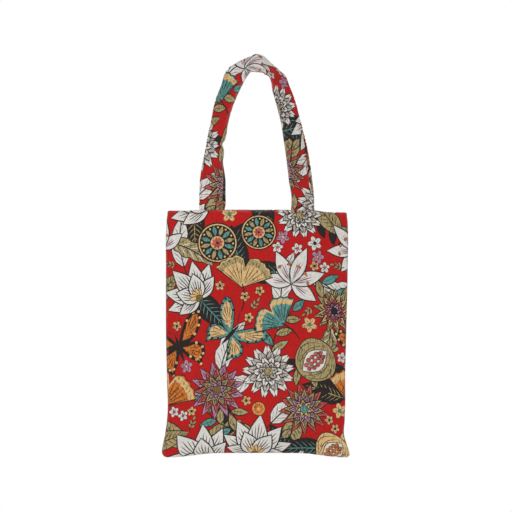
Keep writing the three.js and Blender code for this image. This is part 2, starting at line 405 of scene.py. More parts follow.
def lily(size):
    shapes = []
    for angle, reach in ((-100, 0.8), (100, 0.8), (-48, 0.95), (48, 0.95), (0, 1.05)):
        petal = inked(leafShape(size * reach, size * 0.36, 0.9, 8), "white", 1.9)
        for k in (-1, 0, 1):
            line = bow(complex(k * 0.02, 0.15) * size, complex(k * 0.075, 0.62 * reach) * size, 0, 3)
            petal.append(("ink" if k == 0 else "pink", stroke(line, 1.5)))
        shapes += moved(petal, 0j, -angle)
    for k in range(5):
        tip = 0.5j * size * spin((k - 2) * 30)
        shapes.append(("ink", stroke([0.02j * size, tip * 0.5, tip], 1.1)))
        anther = inked(leafShape(size * 0.12, size * 0.06, 1, 4), "orange", 0.7)
        shapes += moved(anther, tip - 0.06 * size, (k - 2) * 30 - 90)
    return shapes


def fanLeaf(size, colour, edge):
    fan = [0j]
    for k in range(19):
        a = math.radians(124 * k / 18 - 62)
        reach = size * (1 - 0.05 * (k % 2) - (0.34 if k == 9 else 0.12 if k in (8, 10) else 0))
        fan.append(complex(math.sin(a) * reach, math.cos(a) * reach))
    shapes = inked(fan[::-1], colour, 1.6)
    rim = [p * (0.97 if k % 2 else 0.95) for k, p in enumerate(fan[1:])]
    rim += [p * 0.78 for p in reversed(fan[1:])]
    shapes.append((edge, rim))
    for k in (0, 1, 2, 3, 4, 6, 7, 8, 9, 10):
        tip = size * (0.9 if k % 2 else 0.8) * 1j * spin(58 - 116 * k / 10)
        shapes.append(("ink", stroke([tip * 0.2, tip * 0.6, tip], 1.3)))
    shapes.append(("ink", stroke(bow(0.1j * size, complex(0.12, -0.75) * size, 0.08, 4), 2.2, 1, 0.7)))
    return shapes


def butterfly(size, wing, patch, spot):
    half = []
    fore = [0j, 0.3 - 0.02j, 0.62 + 0.12j, 0.86 + 0.36j, 0.98 + 0.6j, 1.02 + 0.82j, 0.82 + 0.86j,
            0.5 + 0.68j, 0.2 + 0.32j]
    hind = [0j, 0.08 - 0.2j, 0.22 - 0.46j, 0.4 - 0.64j, 0.5 - 0.86j, 0.56 - 0.62j, 0.7 - 0.54j,
            0.76 - 0.3j, 0.6 - 0.08j, 0.3 - 0.04j]
    for outline, middle in ((hind, 0.42 - 0.3j), (fore, 0.6 + 0.42j)):
        half += inked([p * size for p in outline], wing, 1.6)
        half.append((patch, [(middle + (p - middle) * 0.72) * size for p in outline]))
        for p in outline[1:]:
            end = (middle + (p - middle) * 0.86) * size
            start = (middle * 0.45 + (p - middle * 0.45) * 0.25) * size
            half.append(("ink", stroke([start, (start + end) / 2, end], 1.3)))
        for p in outline[2:-1]:
            where = (middle + (p - middle) * 0.86) * size
            half.append((spot, [q + where for q in ring(size * 0.045, 7)]))
    shapes = half + [(c, mirrored(points)) for c, points in half]
    shapes.append(("ink", [p - 0.55j * size for p in leafShape(size * 0.95, size * 0.14, 1.0, 6)]))
    for s in (-1, 1):
        shapes.append(("ink", stroke(bow(0.36j * size, complex(s * 0.3, 0.85) * size, -0.1 * s, 5), 1.2)))
    return shapes


def feather(size, colour, barb):
    spine = bow(0j, 1j * size, 0.09, 12)
    edges = ([], [])
    for k, p in enumerate(spine):
        up = min(max((k / 12 - 0.16) / 0.84, 0), 1)
        half = size * 0.15 * math.sin(math.pi * up ** 0.7) ** 0.8
        along = spine[min(k + 1, 12)] - spine[max(k - 1, 0)]
        side = 1j * along / abs(along) * half
        edges[0].append(p - side * (1 - 0.2 * (k % 3 == 1)))
        edges[1].append(p + side * (1 - 0.2 * (k % 4 == 2)))
    shapes = inked(edges[0][2:] + edges[1][2:-1][::-1], colour, 1.5)
    for k in range(3, 12):
        for edge in edges:
            tip = spine[k] + (edge[min(k + 1, 12)] - spine[k]) * 0.86
            line = [spine[k - 1], spine[k - 1] * 0.4 + tip * 0.6 + (spine[k] - spine[k - 1]) * 0.1, tip]
            shapes.append((barb if k % 2 else "ink", stroke(line, 1.6 if k % 2 else 1.1)))
    return shapes + [("ink", stroke(spine, 1.9, 1, 0.2))]


def pomegranate(size, skin, seed):
    shapes = []
    for k in (-1, 0, 1):
        shapes += moved(inked(leafShape(size * 0.55, size * 0.26, 1.0, 5), skin, 1.3), 0.84j * size, k * 34)
    body = [complex(p.real * (1 + 0.06 * math.sin(p.imag / size * 3)), p.imag * 0.95) for p in ring(size, 26)]
    shapes += inked(body, skin, 1.5)
    for k in (-3, -2, 2, 3):
        rib = bow(complex(k * 0.12, -0.8) * size, complex(k * 0.13, 0.75) * size, -0.11 * k, 6)
        shapes.append(("ink", stroke(rib, 1.1)))
    shapes += inked([p - 0.78j * size for p in leafShape(size * 1.5, size * 0.95, 1.0, 8)], "white", 1.2)
    for y, count in ((-0.42, 2), (-0.2, 3), (0.03, 3), (0.26, 3), (0.46, 2)):
        for k in range(count):
            where = complex((k - (count - 1) / 2) * 0.215, y - 0.16) * size
            shapes += moved(inked(leafShape(size * 0.24, size * 0.17, 0.8, 4), seed, 0.9), where)
    return shapes


def broadLeaf(size, colour, vein):
    shapes = inked(leafShape(size, size * 0.42, 0.8, 10), colour, 1.6)
    shapes.append((vein, stroke(bow(0.05j * size, 0.93j * size, 0, 4), 1.7)))
    for k in range(7):
        foot = 1j * size * (0.12 + 0.1 * k)
        for s in (-1, 1):
            tip = foot + complex(s * 0.16 * math.sin(math.pi * (0.25 + 0.09 * k)), 0.13) * size
            shapes.append((vein, stroke([foot, (foot + tip) / 2 - 0.01j * size, tip], 1.3)))
    return shapes


def spray(size, colours, count=6):
    stem = bow(0j, 1j * size, 0.12, 10)
    shapes = [("ink", stroke(stem, 2.0, 1, 0.5))]
    for k in range(count):
        at = min(int((0.2 + 0.8 * k / (count - 1)) * 10), 10)
        lean = math.degrees(cmath.phase(stem[min(at + 1, 10)] - stem[at - 1])) - 90
        leaf = inked(leafShape(size * (0.36 - 0.01 * at), size * 0.13, 0.85, 7), colours[k % len(colours)])
        leaf.append(("ink", stroke([0.03j * size, 0.12j * size, 0.24j * size], 1.1)))
        shapes += moved(leaf, stem[at], lean + (0 if k == count - 1 else 52 if k % 2 else -52))
    return shapes


def rosette(size):
    shapes = [("ink", ring(size, 32)), ("cream", ring(size * 0.93, 32)), ("ink", ring(size * 0.87, 32))]
    for k in range(12):
        leaf = [("khaki" if k % 2 else "teal", leafShape(size * 0.5, size * 0.2, 1.0, 5))]
        shapes += moved(leaf, 0.34j * size * spin(30 * k), 30 * k)
        shapes.append(("cream", [p + 0.76j * size * spin(30 * k + 15) for p in ring(size * 0.05, 7)]))
    shapes += inked(ring(size * 0.33, 20), "cream", 0.9)
    for k in range(8):
        shapes += moved([("salmon", leafShape(size * 0.3, size * 0.17, 1.0, 5))], 0j, 45 * k)
    return shapes + [("ink", ring(size * 0.07, 9))]


def blossom(size, colour, heart):
    shapes = []
    for k in range(5):
        petal = inked(petalShape(size, size * 0.62, 0.16), colour, 0.7)
        petal.append(("ink", stroke([0.3j * size, 0.5j * size, 0.66j * size], 0.9)))
        shapes += moved(petal, 0j, 72 * k)
    return shapes + inked(ring(size * 0.2, 9), heart, 0.7)


def citrusSlice(size):
    shapes = inked(ring(size, 22), "orange", 1.1) + [("cream", ring(size * 0.86, 22))]
    wedge = [-0.235 + 0.72j, -0.16 + 0.45j, 0.12j, 0.16 + 0.45j, 0.235 + 0.72j, 0.08 + 0.8j, -0.08 + 0.8j]
    for k in range(9):
        shapes += moved([("orange", [p * size for p in wedge])], 0j, 40 * k)
    return shapes


def sprig(size, colour):
    shapes = [("ink", stroke(bow(0j, 0.9j * size, 0.1, 5), 1.4, 1, 0.4))]
    for k, lean in enumerate((48, -48, 40, -40, 0)):
        foot = 1j * size * (0.25 + 0.25 * (k // 2)) if k < 4 else 0.8j * size
        shapes += moved(inked(leafShape(size * 0.36, size * 0.15, 0.9, 5), colour, 0.8), foot, lean)
    return shapes


mainMotifs = [  # the motif, the room it takes, how many leaves stand out from behind it
    (whiteBloom(68), 53, 3),
    (roundBloom(46, ["pink", "salmon", "khaki", "pink"], "olive"), 45, 2),
    (butterfly(52, "ink", "orange", "cream"), 45, 0),
    (whiteBloom(58), 46, 3),
    (pomegranate(35, "khaki", "salmon"), 40, 2),
    (roundBloom(42, ["white", "pearl"], "khaki", True), 41, 2),
    (fanLeaf(60, "orange", "cream"), 43, 1),
    (rosette(33), 34, 1),
    (lily(60), 49, 2),
    (roundBloom(42, ["salmon", "khaki", "pink", "cream"], "teal"), 41, 2),
    (butterfly(46, "teal", "cream", "ink"), 40, 0),
    (roundBloom(36, ["white", "pearl"], "khaki", True), 36, 2),
    (pomegranate(31, "cream", "orange"), 36, 2),
    (fanLeaf(52, "cream", "khaki"), 38, 1),
    (whiteBloom(62), 49, 3),
    (rosette(29), 30, 1),
    (lily(52), 43, 2),
    (fanLeaf(46, "teal", "cream"), 34, 1),
    (roundBloom(36, ["khaki", "cream", "salmon", "pink"], "ink"), 36, 2),
]
backMotifs = [
    spray(92, ["khaki", "teal"]),
    broadLeaf(82, "ink", "teal"),
    feather(104, "white", "pearl"),
    broadLeaf(74, "khaki", "ink"),
    spray(84, ["ink", "khaki"]),
    feather(96, "khaki", "white"),
    broadLeaf(76, "ink", "khaki"),
]
smallMotifs = [
    (blossom(13, "cream", "teal"), 12),
    (blossom(11, "pink", "cream"), 10),
    (blossom(12, "white", "ink"), 11),
    (sprig(22, "khaki"), 9),
    (blossom(9, "white", "salmon"), 8),
    (citrusSlice(11), 11),
    (blossom(8, "cream", "ink"), 7),
]


def acrossTile(gap):
    w, h = gardenPrint["tile"]
    return complex(gap.real - w * round(gap.real / w), gap.imag - h * round(gap.imag / h))


def insideOutline(outline, points):
    # even-odd test of many points against one closed outline
    a, b = outline, np.roll(outline, -1)
    x, y = points.real[:, None], points.imag[:, None]
    tall = np.where(b.imag == a.imag, 1e-9, b.imag - a.imag)
    crosses = ((a.imag > y) != (b.imag > y)) & (x < (b.real - a.real) * (y - a.imag) / tall + a.real)
    return crosses.sum(1) % 2 == 1


def gardenTile():
    w, h = gardenPrint["tile"]
    dice = random.Random(gardenPrint["seed"])
    rooms = [room for _, room, _ in mainMotifs]
    spots = [complex(dice.uniform(0, w), dice.uniform(0, h)) for _ in rooms]
    for _ in range(gardenPrint["pushes"]):  # motifs push each other apart until each has its room
        push = [0j] * len(spots)
        for i in range(len(spots)):
            for j in range(i):
                gap = acrossTile(spots[i] - spots[j])
                over = (rooms[i] + rooms[j]) * gardenPrint["spread"] - abs(gap)
                if over > 0:
                    shove = gap / (abs(gap) or 1) * over * 0.25
                    push[i] += shove
                    push[j] -= shove
        spots = [p + q for p, q in zip(spots, push)]
    under, over, small = [], [], []
    for spot, (motif, room, leaves) in zip(spots, mainMotifs):
        over.append(moved(centred(motif), spot, dice.uniform(-55, 55)))
        begin = dice.uniform(0, 360)
        for k in range(leaves):
            lean = begin + 360 * (k + dice.uniform(-0.2, 0.2)) / max(leaves, 2)
            leaf = backMotifs[dice.randrange(len(backMotifs))]
            under.append(moved(leaf, spot + 1j * spin(lean) * room * 0.35, lean + dice.uniform(-12, 12)))
    half, cell = gardenPrint["cell"] / 2, gardenPrint["cell"]
    cells = np.array([complex(x, y) for x in np.arange(half, w, cell) for y in np.arange(half, h, cell)])
    taken = np.zeros(len(cells), bool)
    for _, outline in [shape for group in under + over for shape in group]:
        flat = np.array(outline)
        for dx in (-w, 0, w):
            for dy in (-h, 0, h):
                here = flat + complex(dx, dy)
                near = ((cells.real > here.real.min()) & (cells.real < here.real.max())
                        & (cells.imag > here.imag.min()) & (cells.imag < here.imag.max()))
                if near.any():
                    taken[np.flatnonzero(near)[insideOutline(here, cells[near])]] = True
    busy = list(cells[taken])
    for _ in range(gardenPrint["smallTries"]):
        spot = complex(dice.uniform(0, w), dice.uniform(0, h))
        motif, room = smallMotifs[dice.randrange(len(smallMotifs))]
        gaps = np.array(busy) - spot
        gaps = np.hypot(gaps.real - w * np.round(gaps.real / w), gaps.imag - h * np.round(gaps.imag / h))
        if gaps.min() > room + 1:
            small.append(moved(centred(motif), spot, dice.uniform(0, 360)))
            busy += [spot + room * 0.8 * spin(45 * n) for n in range(8)] + [spot]
    return [[(c, np.array(points)) for c, points in group] for group in under + over + small]


tileGroups = gardenTile()
tileBoxes = []
for group in tileGroups:
    every = np.concatenate([points for _, points in group])
    tileBoxes.append((every.real.min(), every.imag.min(), every.real.max(), every.imag.max()))
print("print laid out:", len(tileGroups), "motifs,", sum(len(group) for group in tileGroups), "outlines")


def shapesIn(window):
    s0, t0, s1, t1 = window
    w, h = gardenPrint["tile"]
    shapes = []
    for group, (x0, y0, x1, y1) in zip(tileGroups, tileBoxes):
        for i in range(math.ceil((s0 - x1) / w), math.floor((s1 - x0) / w) + 1):
            for j in range(math.ceil((t0 - y1) / h), math.floor((t1 - y0) / h) + 1):
                shapes += [(c, points + complex(i * w, j * h)) for c, points in group]
    return [(c, p) for c, p in shapes if p.real.max() > s0 and p.real.min() < s1
            and p.imag.max() > t0 and p.imag.min() < t1]


clothCut = {
    "thickness": 1.0,
    "pointSpacing": 6.0,  # largest step between mesh points, so that the cloth can curve
    "offBorder": (0.02, 0.05),  # outline points closer than this to the border are moved to that distance
    "mergeWithin": (1e-4, 1e-5),  # mesh points this close become one, on the face and on the wrong side
    "wrongSide": 0.55,  # the share of red on the wrong side, where the dark threads float
}


def cutCloth(window, corner, rim=(), cuts=(), closeColumns=(), closeRows=()):
    # one piece of cloth as triangles, each with the dye of the topmost outline over it
    s0, t0, s1, t1 = window
    step = clothCut["pointSpacing"]
    across = np.linspace(s0, s1, max(int((s1 - s0) / step), 2) + 1)
    along = np.linspace(t0, t1, max(int((t1 - t0) / step), 2) + 1)
    border = [(s, t0) for s in across[:-1]] + [(s1, t) for t in along[:-1]]
    border += [(s, t1) for s in across[:0:-1]] + [(s0, t) for t in along[:0:-1]]
    points = list(border)
    edges = [(k, (k + 1) % len(border)) for k in range(len(border))]
    for cut in cuts:  # a line across the cloth that no triangle may cross
        first = len(points)
        points += [(cut, t) for t in along]
        edges += [(first + k, first + k + 1) for k in range(len(along) - 1)]
    shift = corner - complex(s0, t0)
    shapes = shapesIn((s0 + shift.real, t0 + shift.imag, s1 + shift.real, t1 + shift.imag))
    shapes = [(c, p - shift) for c, p in shapes]
    near, off = clothCut["offBorder"]
    for _, outline in shapes:
        for line in (s0, s1) + tuple(cuts):  # a point almost on the border would put a kink in it
            outline.real[np.abs(outline.real - line) < near] = line + off
        for line in (t0, t1):
            outline.imag[np.abs(outline.imag - line) < near] = line + off
        first = len(points)
        points += [(p.real, p.imag) for p in outline]
        edges += [(first + k, first + (k + 1) % len(outline)) for k in range(len(outline))]
    inside = [(s, t) for s in across[1:-1] for t in along[1:-1]]
    for d in rim:  # closer rows where the cloth turns over at its edges
        inside += [(s, t0 + d) for s in across[1:-1]] + [(s, t1 - d) for s in across[1:-1]]
        inside += [(s0 + d, t) for t in along[1:-1]] + [(s1 - d, t) for t in along[1:-1]]
    inside += [(s, t) for s in closeColumns for t in along[1:-1]]
    inside += [(s, t) for t in closeRows for s in across[1:-1]]
    merge = clothCut["mergeWithin"][0]
    made = geometry.delaunay_2d_cdt([Vector(p) for p in points + inside], edges, [], 0, merge, False)
    xy = np.array([(v.x, v.y) for v in made[0]])
    tri = np.array([f for f in made[2] if len(f) == 3])
    middle = xy[tri].mean(1)
    keep = (middle[:, 0] > s0) & (middle[:, 0] < s1) & (middle[:, 1] > t0) & (middle[:, 1] < t1)
    tri, middle = tri[keep], middle[keep]
    dye = np.tile(np.array(dyes["red"]), (len(tri), 1))
    order = np.argsort(middle[:, 0])
    sortedX = middle[order, 0]
    spots = middle[:, 0] + 1j * middle[:, 1]
    for colour, outline in shapes:
        low, high = np.searchsorted(sortedX, (outline.real.min(), outline.real.max()))
        some = order[low:high]
        some = some[(spots[some].imag > outline.imag.min()) & (spots[some].imag < outline.imag.max())]
        if len(some):
            dye[some[insideOutline(outline, spots[some])]] = dyes[colour]
    return xy, tri, dye, np.array(inside)


def clothMesh(name, cut, place, thickness, keep=None, rubbed=None):
    # the cut cloth set in place, with its wrong side and its edges
    xy, tri, dye, inside = cut
    if keep is not None:
        chosen = keep(xy[tri].mean(1))
        tri, dye = tri[chosen], dye[chosen]
        inside = inside[keep(inside)]
    used, tri = np.unique(tri, return_inverse=True)
    tri = tri.reshape(-1, 3)
    xy = xy[used]
    count = len(xy)
    start, end = tri[:, [0, 1, 2]].ravel(), tri[:, [1, 2, 0]].ravel()
    border = ~np.isin(start * count + end, end * count + start)
    a, b = start[border], end[border]
    # the wrong side has the same border but no design, so it takes far fewer triangles
    rim, edges = np.unique(np.stack([a, b], 1), return_inverse=True)
    edges = edges.reshape(-1, 2)
    around = [Vector(p) for p in np.concatenate([xy[rim], inside])]
    made = geometry.delaunay_2d_cdt(around, edges.tolist(), [], 1, clothCut["mergeWithin"][1], True)
    at = np.zeros(len(around), int)
    for k, merged in enumerate(made[3]):
        at[merged] = k + count
    wrong = np.array(made[2])[:, ::-1] + count
    flat = np.concatenate([xy, np.array([(v.x, v.y) for v in made[0]])])
    verts, normal = place(flat[:, 0], flat[:, 1])
    verts[count:] -= normal[count:] * thickness
    walls = np.stack([b, a, at[edges[:, 0]], at[edges[:, 1]]], 1)
    mesh = bpy.data.meshes.new(name)
    mesh.from_pydata((verts / 1000).tolist(), [], tri.tolist() + wrong.tolist() + walls.tolist())
    share = clothCut["wrongSide"]
    sunk = np.array(dyes["red"]) * share + np.array(dyes["ink"]) * (1 - share)
    faceDye = np.concatenate([dye, np.tile(sunk, (len(wrong), 1)), np.repeat(dye, 3, 0)[border]])
    corners = np.repeat([3, 3, 4], (len(tri), len(wrong), len(walls)))
    mesh.attributes.new("threadMix", "FLOAT", "FACE").data.foreach_set("value", faceDye[:, 3].copy())
    faceDye[:, 3] = 1
    colours = mesh.color_attributes.new("printColour", "FLOAT_COLOR", "CORNER")
    colours.data.foreach_set("color", np.repeat(faceDye, corners, 0).ravel())
    if rubbed:
        mesh.attributes.new("edgeWear", "FLOAT", "POINT").data.foreach_set("value", rubbed(*flat.T))
    loops = np.concatenate([tri.ravel(), wrong.ravel(), walls.ravel()])
    mesh.uv_layers.new(name="cloth").data.foreach_set("uv", (flat[loops] / 1000).ravel())
    wallNormal = unit(np.cross(verts[a] - verts[b], verts[walls[:, 2]] - verts[a]))
    normals = np.concatenate([normal[tri.ravel()], -normal[wrong.ravel()], np.repeat(wallNormal, 4, 0)])
    mesh.polygons.foreach_set("use_smooth", [True] * len(mesh.polygons))
    mesh.normals_split_custom_set(normals.tolist())
    mesh.materials.append(jacquardCloth)
    mesh.update()
    return newObject(name, mesh)


def smoothLine(rows, at):
    # a smooth curve through (position, value) rows
    x, y = np.array(rows, float).T
    slope = np.gradient(y, x)
    k = np.clip(np.searchsorted(x, at) - 1, 0, len(x) - 2)
    span = x[k + 1] - x[k]
    f = np.clip((at - x[k]) / span, 0, 1)
    ends = (2 * f ** 3 - 3 * f ** 2 + 1) * y[k] + (3 * f ** 2 - 2 * f ** 3) * y[k + 1]
    return ends + span * ((f ** 3 - 2 * f ** 2 + f) * slope[k] + (f ** 3 - f ** 2) * slope[k + 1])


def smoothstep(f):
    f = np.clip(f, 0, 1)
    return f * f * (3 - 2 * f)


def unit(v):
    return v / np.maximum(np.linalg.norm(v, axis=-1, keepdims=True), 1e-9)


bagBody = {
    # height above the bottom corners, and how far the side lies from the middle there
    "leftEdge": [(0, -153.6), (13, -153.9), (21, -152.3), (37, -149), (73, -144.8), (125, -145.8),
                 (190, -147.2), (311, -147.4), (369, -147.2), (390, -145.6), (400, -143.8)],
    "rightEdge": [(0, 149.8), (8, 149), (13, 147.6), (21, 145), (37, 140.4), (60, 141.4), (90, 142.4),
                  (125, 142.2), (190, 143.6), (311, 146.4), (369, 146.8), (390, 145.6), (400, 143.8)],
    "halfWidth": 147,  # of the cloth before its sides are shaped
    "cornerRadius": (8, 5),
    "bottomRise": 7,  # the bottom edge bows up between the corners
    "feet": (0.85, 0.45, 0.5),  # their share of that rise, where a foot begins and how wide it is
    "mouthDrop": ((1.2, 8), (4.2, 3)),  # how much lower the left and right corner hang, and how suddenly
    "bellyDepth": 29,
    "bellyHeight": 105,
    "bellyCurve": 2.2,  # how quickly it fills out above the bottom seam
    "bulge": (3, 0.9),  # the same from side to side: flat in the middle, quick at the seams
    "mouthDepth": 25,
    "seamGap": 0.12,
    "seamRoll": 1.8,  # radius at which the cloth turns into its seams
    "hemRoll": 1.1,
    "hemRows": 6,
    "hemDepth": 4,
    "closeLines": [0, 0.1, 0.3, 0.6, 1, 1.5, 2.2, 3.2, 4.6],  # mesh lines beside a seam
    "evenLines": (6.5, 4.5, 3),  # the mesh lines after them: first one, spacing, gap left at the end
}


def bottomLine(u):
    # two low feet at the corners and a flat bow between them
    share, start, wide = bagBody["feet"]
    foot = share * (1 - smoothstep((np.abs(u) - start) / wide)) + (1 - share) * (1 - u ** 2)
    return bottomZ + bagBody["bottomRise"] * foot


def bagGrid():
    body = bagBody
    height, wide = mouthZ - bottomZ, body["halfWidth"]
    first, step, short = body["evenLines"]
    rim = np.array(body["closeLines"] + list(np.arange(first, wide - short, step)) + [wide])
    u = np.concatenate([rim / wide - 1, (1 - rim / wide)[-2::-1]])
    fromSide = np.concatenate([rim, rim[-2::-1]])
    top = height - body["hemRoll"]
    h = np.array(body["closeLines"] + list(np.arange(first, height - short, step)) + [top])
    left, right = smoothLine(body["leftEdge"], h), smoothLine(body["rightEdge"], h)
    for side, radius in zip((left, right), body["cornerRadius"]):
        side -= np.sign(side) * (radius - np.sqrt(radius ** 2 - np.maximum(radius - h, 0) ** 2))
    half, lean = (right - left) / 2, (right + left) / 2
    x = half[:, None] * u + lean[:, None] * u ** 4  # the lean shows at the sides, the middle stays
    (leftDrop, leftPower), (rightDrop, rightPower) = body["mouthDrop"]
    drop = np.where(u < 0, leftDrop * np.abs(u) ** leftPower, rightDrop * np.abs(u) ** rightPower)
    low = bottomLine(u)
    z = low + (mouthZ - drop - low) * (h / height)[:, None]
    full = 1 - (1 - np.minimum(h / body["bellyHeight"], 1)) ** body["bellyCurve"]
    rise = smoothstep((h - body["bellyHeight"]) / (height - body["bellyHeight"]))
    depth = full * (body["bellyDepth"] + (body["mouthDepth"] - body["bellyDepth"]) * rise)
    near = np.minimum(fromSide, h[:, None]) / body["seamRoll"]
    turn = body["seamRoll"] * np.sqrt(1 - (1 - np.minimum(near, 1)) ** 2)
    flat, quick = body["bulge"]
    bulge = np.maximum(1 - np.abs(u) ** flat, 0) ** quick
    y = -(body["seamGap"] + turn + depth[:, None] * bulge)
    return np.stack([x, y, z], -1)


def lengths(points):
    return np.concatenate([[0], np.cumsum(np.linalg.norm(np.diff(points, axis=0), axis=1))])


def withHem(grid, outward):
    # the cloth turned over at the mouth and a little way down inside, tighter where the halves meet
    top, up = grid[-1], unit(grid[-1] - grid[-2])
    radius = np.minimum(bagBody["hemRoll"], np.maximum(np.abs(top[:, 1:2]) / 2 - 0.05, 0.02))
    rows = []
    for k in range(1, bagBody["hemRows"] + 1):
        a = math.pi * k / bagBody["hemRows"]
        rows.append(top + up * radius * math.sin(a) - outward[-1] * radius * (1 - math.cos(a)))
    rows += [rows[-1] - up * bagBody["hemDepth"] * f for f in (0.5, 1)]
    return np.concatenate([grid, np.stack(rows)])


def gridNormals(grid, c, t, side):
    return unit(np.cross(np.gradient(grid, c, axis=1), np.gradient(grid, t, axis=0))) * -side


frontGrid = bagGrid()
clothAcross = lengths(frontGrid[len(frontGrid) // 2])
clothAcross -= clothAcross[-1] / 2
clothUp = lengths(frontGrid[:, frontGrid.shape[1] // 3])
lipT = clothUp[-1]
hemTurn = math.pi * bagBody["hemRoll"]
hemT = lipT + hemTurn + bagBody["hemDepth"]
hemSteps = [hemTurn * k / bagBody["hemRows"] for k in range(1, bagBody["hemRows"] + 1)]
hemSteps += [hemSteps[-1] + bagBody["hemDepth"] * f for f in (0.5, 1)]
clothRows = np.concatenate([clothUp, lipT + np.array(hemSteps)])
halfCloth = clothAcross[-1]
bagSides = {}


def setBag(grids):
    for side, grid in grids.items():
        bare = gridNormals(grid, clothAcross, clothUp, side)
        whole = withHem(grid, bare)
        bagSides[side] = (whole, gridNormals(whole, clothAcross, clothRows, side))


def onBag(side, c, t, lift=0.0):
    # side -1 is the front half, 1 the back one; lift goes outwards from the cloth's face
    grid, normals = bagSides[side]
    i = np.clip(np.searchsorted(clothAcross, c) - 1, 0, len(clothAcross) - 2)
    j = np.clip(np.searchsorted(clothRows, t) - 1, 0, len(clothRows) - 2)
    f = ((c - clothAcross[i]) / (clothAcross[i + 1] - clothAcross[i]))[:, None]
    g = ((t - clothRows[j]) / (clothRows[j + 1] - clothRows[j]))[:, None]
    mixed = []
    for a in (grid, normals):
        low = a[j, i] * (1 - f) + a[j, i + 1] * f
        high = a[j + 1, i] * (1 - f) + a[j + 1, i + 1] * f
        mixed.append(low * (1 - g) + high * g)
    point, normal = mixed[0], unit(mixed[1])
    return point + normal * lift, normal


settling = {
    "columns": 56, "rows": 74, "frames": 40, "quality": 8,
    "ease": (0.03, 0.02),  # spare cloth across and along, which lies in soft folds
    "pressure": 0.4, "weight": 0.3, "stiffness": 100.0, "bending": 0.05, "airDamping": 4,
    "handleEnd": (73.5, 19.0, 30.0),  # from the middle, half its width, its depth below the mouth
    "kept": (0.5, 1.0, 0.3),  # how much of the move stays: the doubled hem and the seams hold back the sag
    "mostMove": 11.0,
    "fromSeam": 14.0,  # the turned-in edges keep the cloth from moving this close to a seam
    "apart": 2.2,  # room for the linings between the halves
}


def curveWeights(at, knots):
    # how much of each evenly spaced row a smooth curve takes at the given places
    place = np.clip((at - knots[0]) / (knots[1] - knots[0]), 0, len(knots) - 1 - 1e-6)
    k = place.astype(int)
    f = place - k
    weights = np.zeros((len(at), len(knots)))
    for step, w in ((-1, -f / 2 + f ** 2 - f ** 3 / 2), (0, 1 - 2.5 * f ** 2 + 1.5 * f ** 3),
                    (1, f / 2 + 2 * f ** 2 - 1.5 * f ** 3), (2, -f ** 2 / 2 + f ** 3 / 2)):
        np.add.at(weights, (np.arange(len(at)), np.clip(k + step, 0, len(knots) - 1)), w)
    return weights


def settleCloth(grid):
    # both halves as one pouch of cloth, a little fuller than its outline, hung by its handle ends
    columns, rows = settling["columns"], settling["rows"]
    c, t = np.linspace(-halfCloth, halfCloth, columns + 1), np.linspace(0, lipT, rows + 1)
    cc, tt = [a.ravel() for a in np.meshgrid(c, t)]
    front, back = onBag(-1, cc, tt)[0], onBag(1, cc, tt)[0]
    seam = (np.abs(np.abs(cc) - halfCloth) < 0.01) | (tt < 0.01)
    front[seam, 1] = 0
    count = len(cc)
    other = np.arange(count)
    other[~seam] = count + np.arange((~seam).sum())
    at = np.arange(count).reshape(rows + 1, columns + 1)
    quads = np.stack([at[:-1, :-1], at[:-1, 1:], at[1:, 1:], at[1:, :-1]], -1).reshape(-1, 4)
    start = np.concatenate([front, back[~seam]]) / 1000
    easeAcross, easeUp = settling["ease"]
    apart = np.where(seam, 0, -0.5)  # cut flat, the halves lie a millimetre from each other
    flat = np.stack([cc * (1 + easeAcross), apart, tt * (1 + easeUp)], -1)
    flat = np.concatenate([flat, flat[~seam] * (1, -1, 1)]) / 1000
    mesh = bpy.data.meshes.new("settlingPouch")
    mesh.from_pydata(start.tolist(), [], quads.tolist() + other[quads[:, ::-1]].tolist())
    pouch = newObject("settlingPouch", mesh)
    pouch.shape_key_add(name="hung")
    cutFlat = pouch.shape_key_add(name="cutFlat")
    cutFlat.data.foreach_set("co", flat.ravel())
    out, wide, deep = settling["handleEnd"]
    held = seam | ((np.abs(np.abs(cc) - out) < wide) & (tt > lipT - deep))
    still = np.flatnonzero(np.concatenate([held, held[~seam]]))
    pouch.vertex_groups.new(name="held").add(still.tolist(), 1.0, "REPLACE")
    modifier = pouch.modifiers.new("cloth", "CLOTH")
    modifier.collision_settings.use_collision = False
    modifier.point_cache.frame_end = settling["frames"]
    cloth = modifier.settings
    cloth.quality = settling["quality"]
    cloth.mass = settling["weight"]
    cloth.tension_stiffness = cloth.compression_stiffness = settling["stiffness"]
    cloth.shear_stiffness = settling["stiffness"] / 2
    cloth.bending_stiffness = settling["bending"]
    cloth.air_damping = settling["airDamping"]
    cloth.vertex_group_mass = "held"
    cloth.rest_shape_key = cutFlat
    cloth.use_pressure = True
    cloth.uniform_pressure_force = settling["pressure"]
    for k in range(1, settling["frames"] + 1):
        scene.frame_set(k)
    hung = pouch.evaluated_get(bpy.context.evaluated_depsgraph_get()).to_mesh()
    end = np.zeros(len(start) * 3)
    hung.vertices.foreach_get("co", end)
    scene.frame_set(1)
    bpy.data.objects.remove(pouch)
    move = (end.reshape(-1, 3) - start) * 1000 * settling["kept"]
    size = np.linalg.norm(move, axis=1, keepdims=True)
    print("cloth settled by", round(float(np.median(size)), 1), "mm, at most", round(float(size.max()), 1))
    move *= settling["mostMove"] * np.tanh(size / settling["mostMove"]) / np.maximum(size, 1e-9)
    up, across = curveWeights(clothUp, t), curveWeights(clothAcross, c)
    fromSeam = np.minimum(halfCloth - np.abs(clothAcross), clothUp[:, None])
    loose = smoothstep(fromSeam / settling["fromSeam"])[..., None]
    settled = {}
    for side, which in ((-1, np.arange(count)), (1, other)):
        moves = np.einsum("ij,jkl,mk->iml", up, move[which].reshape(rows + 1, columns + 1, 3), across)
        shape = grid * (1, -side, 1) + moves * loose
        shape[..., 1] = side * np.maximum(shape[..., 1] * side, np.minimum(-grid[..., 1], settling["apart"]))
        settled[side] = shape
    return settled


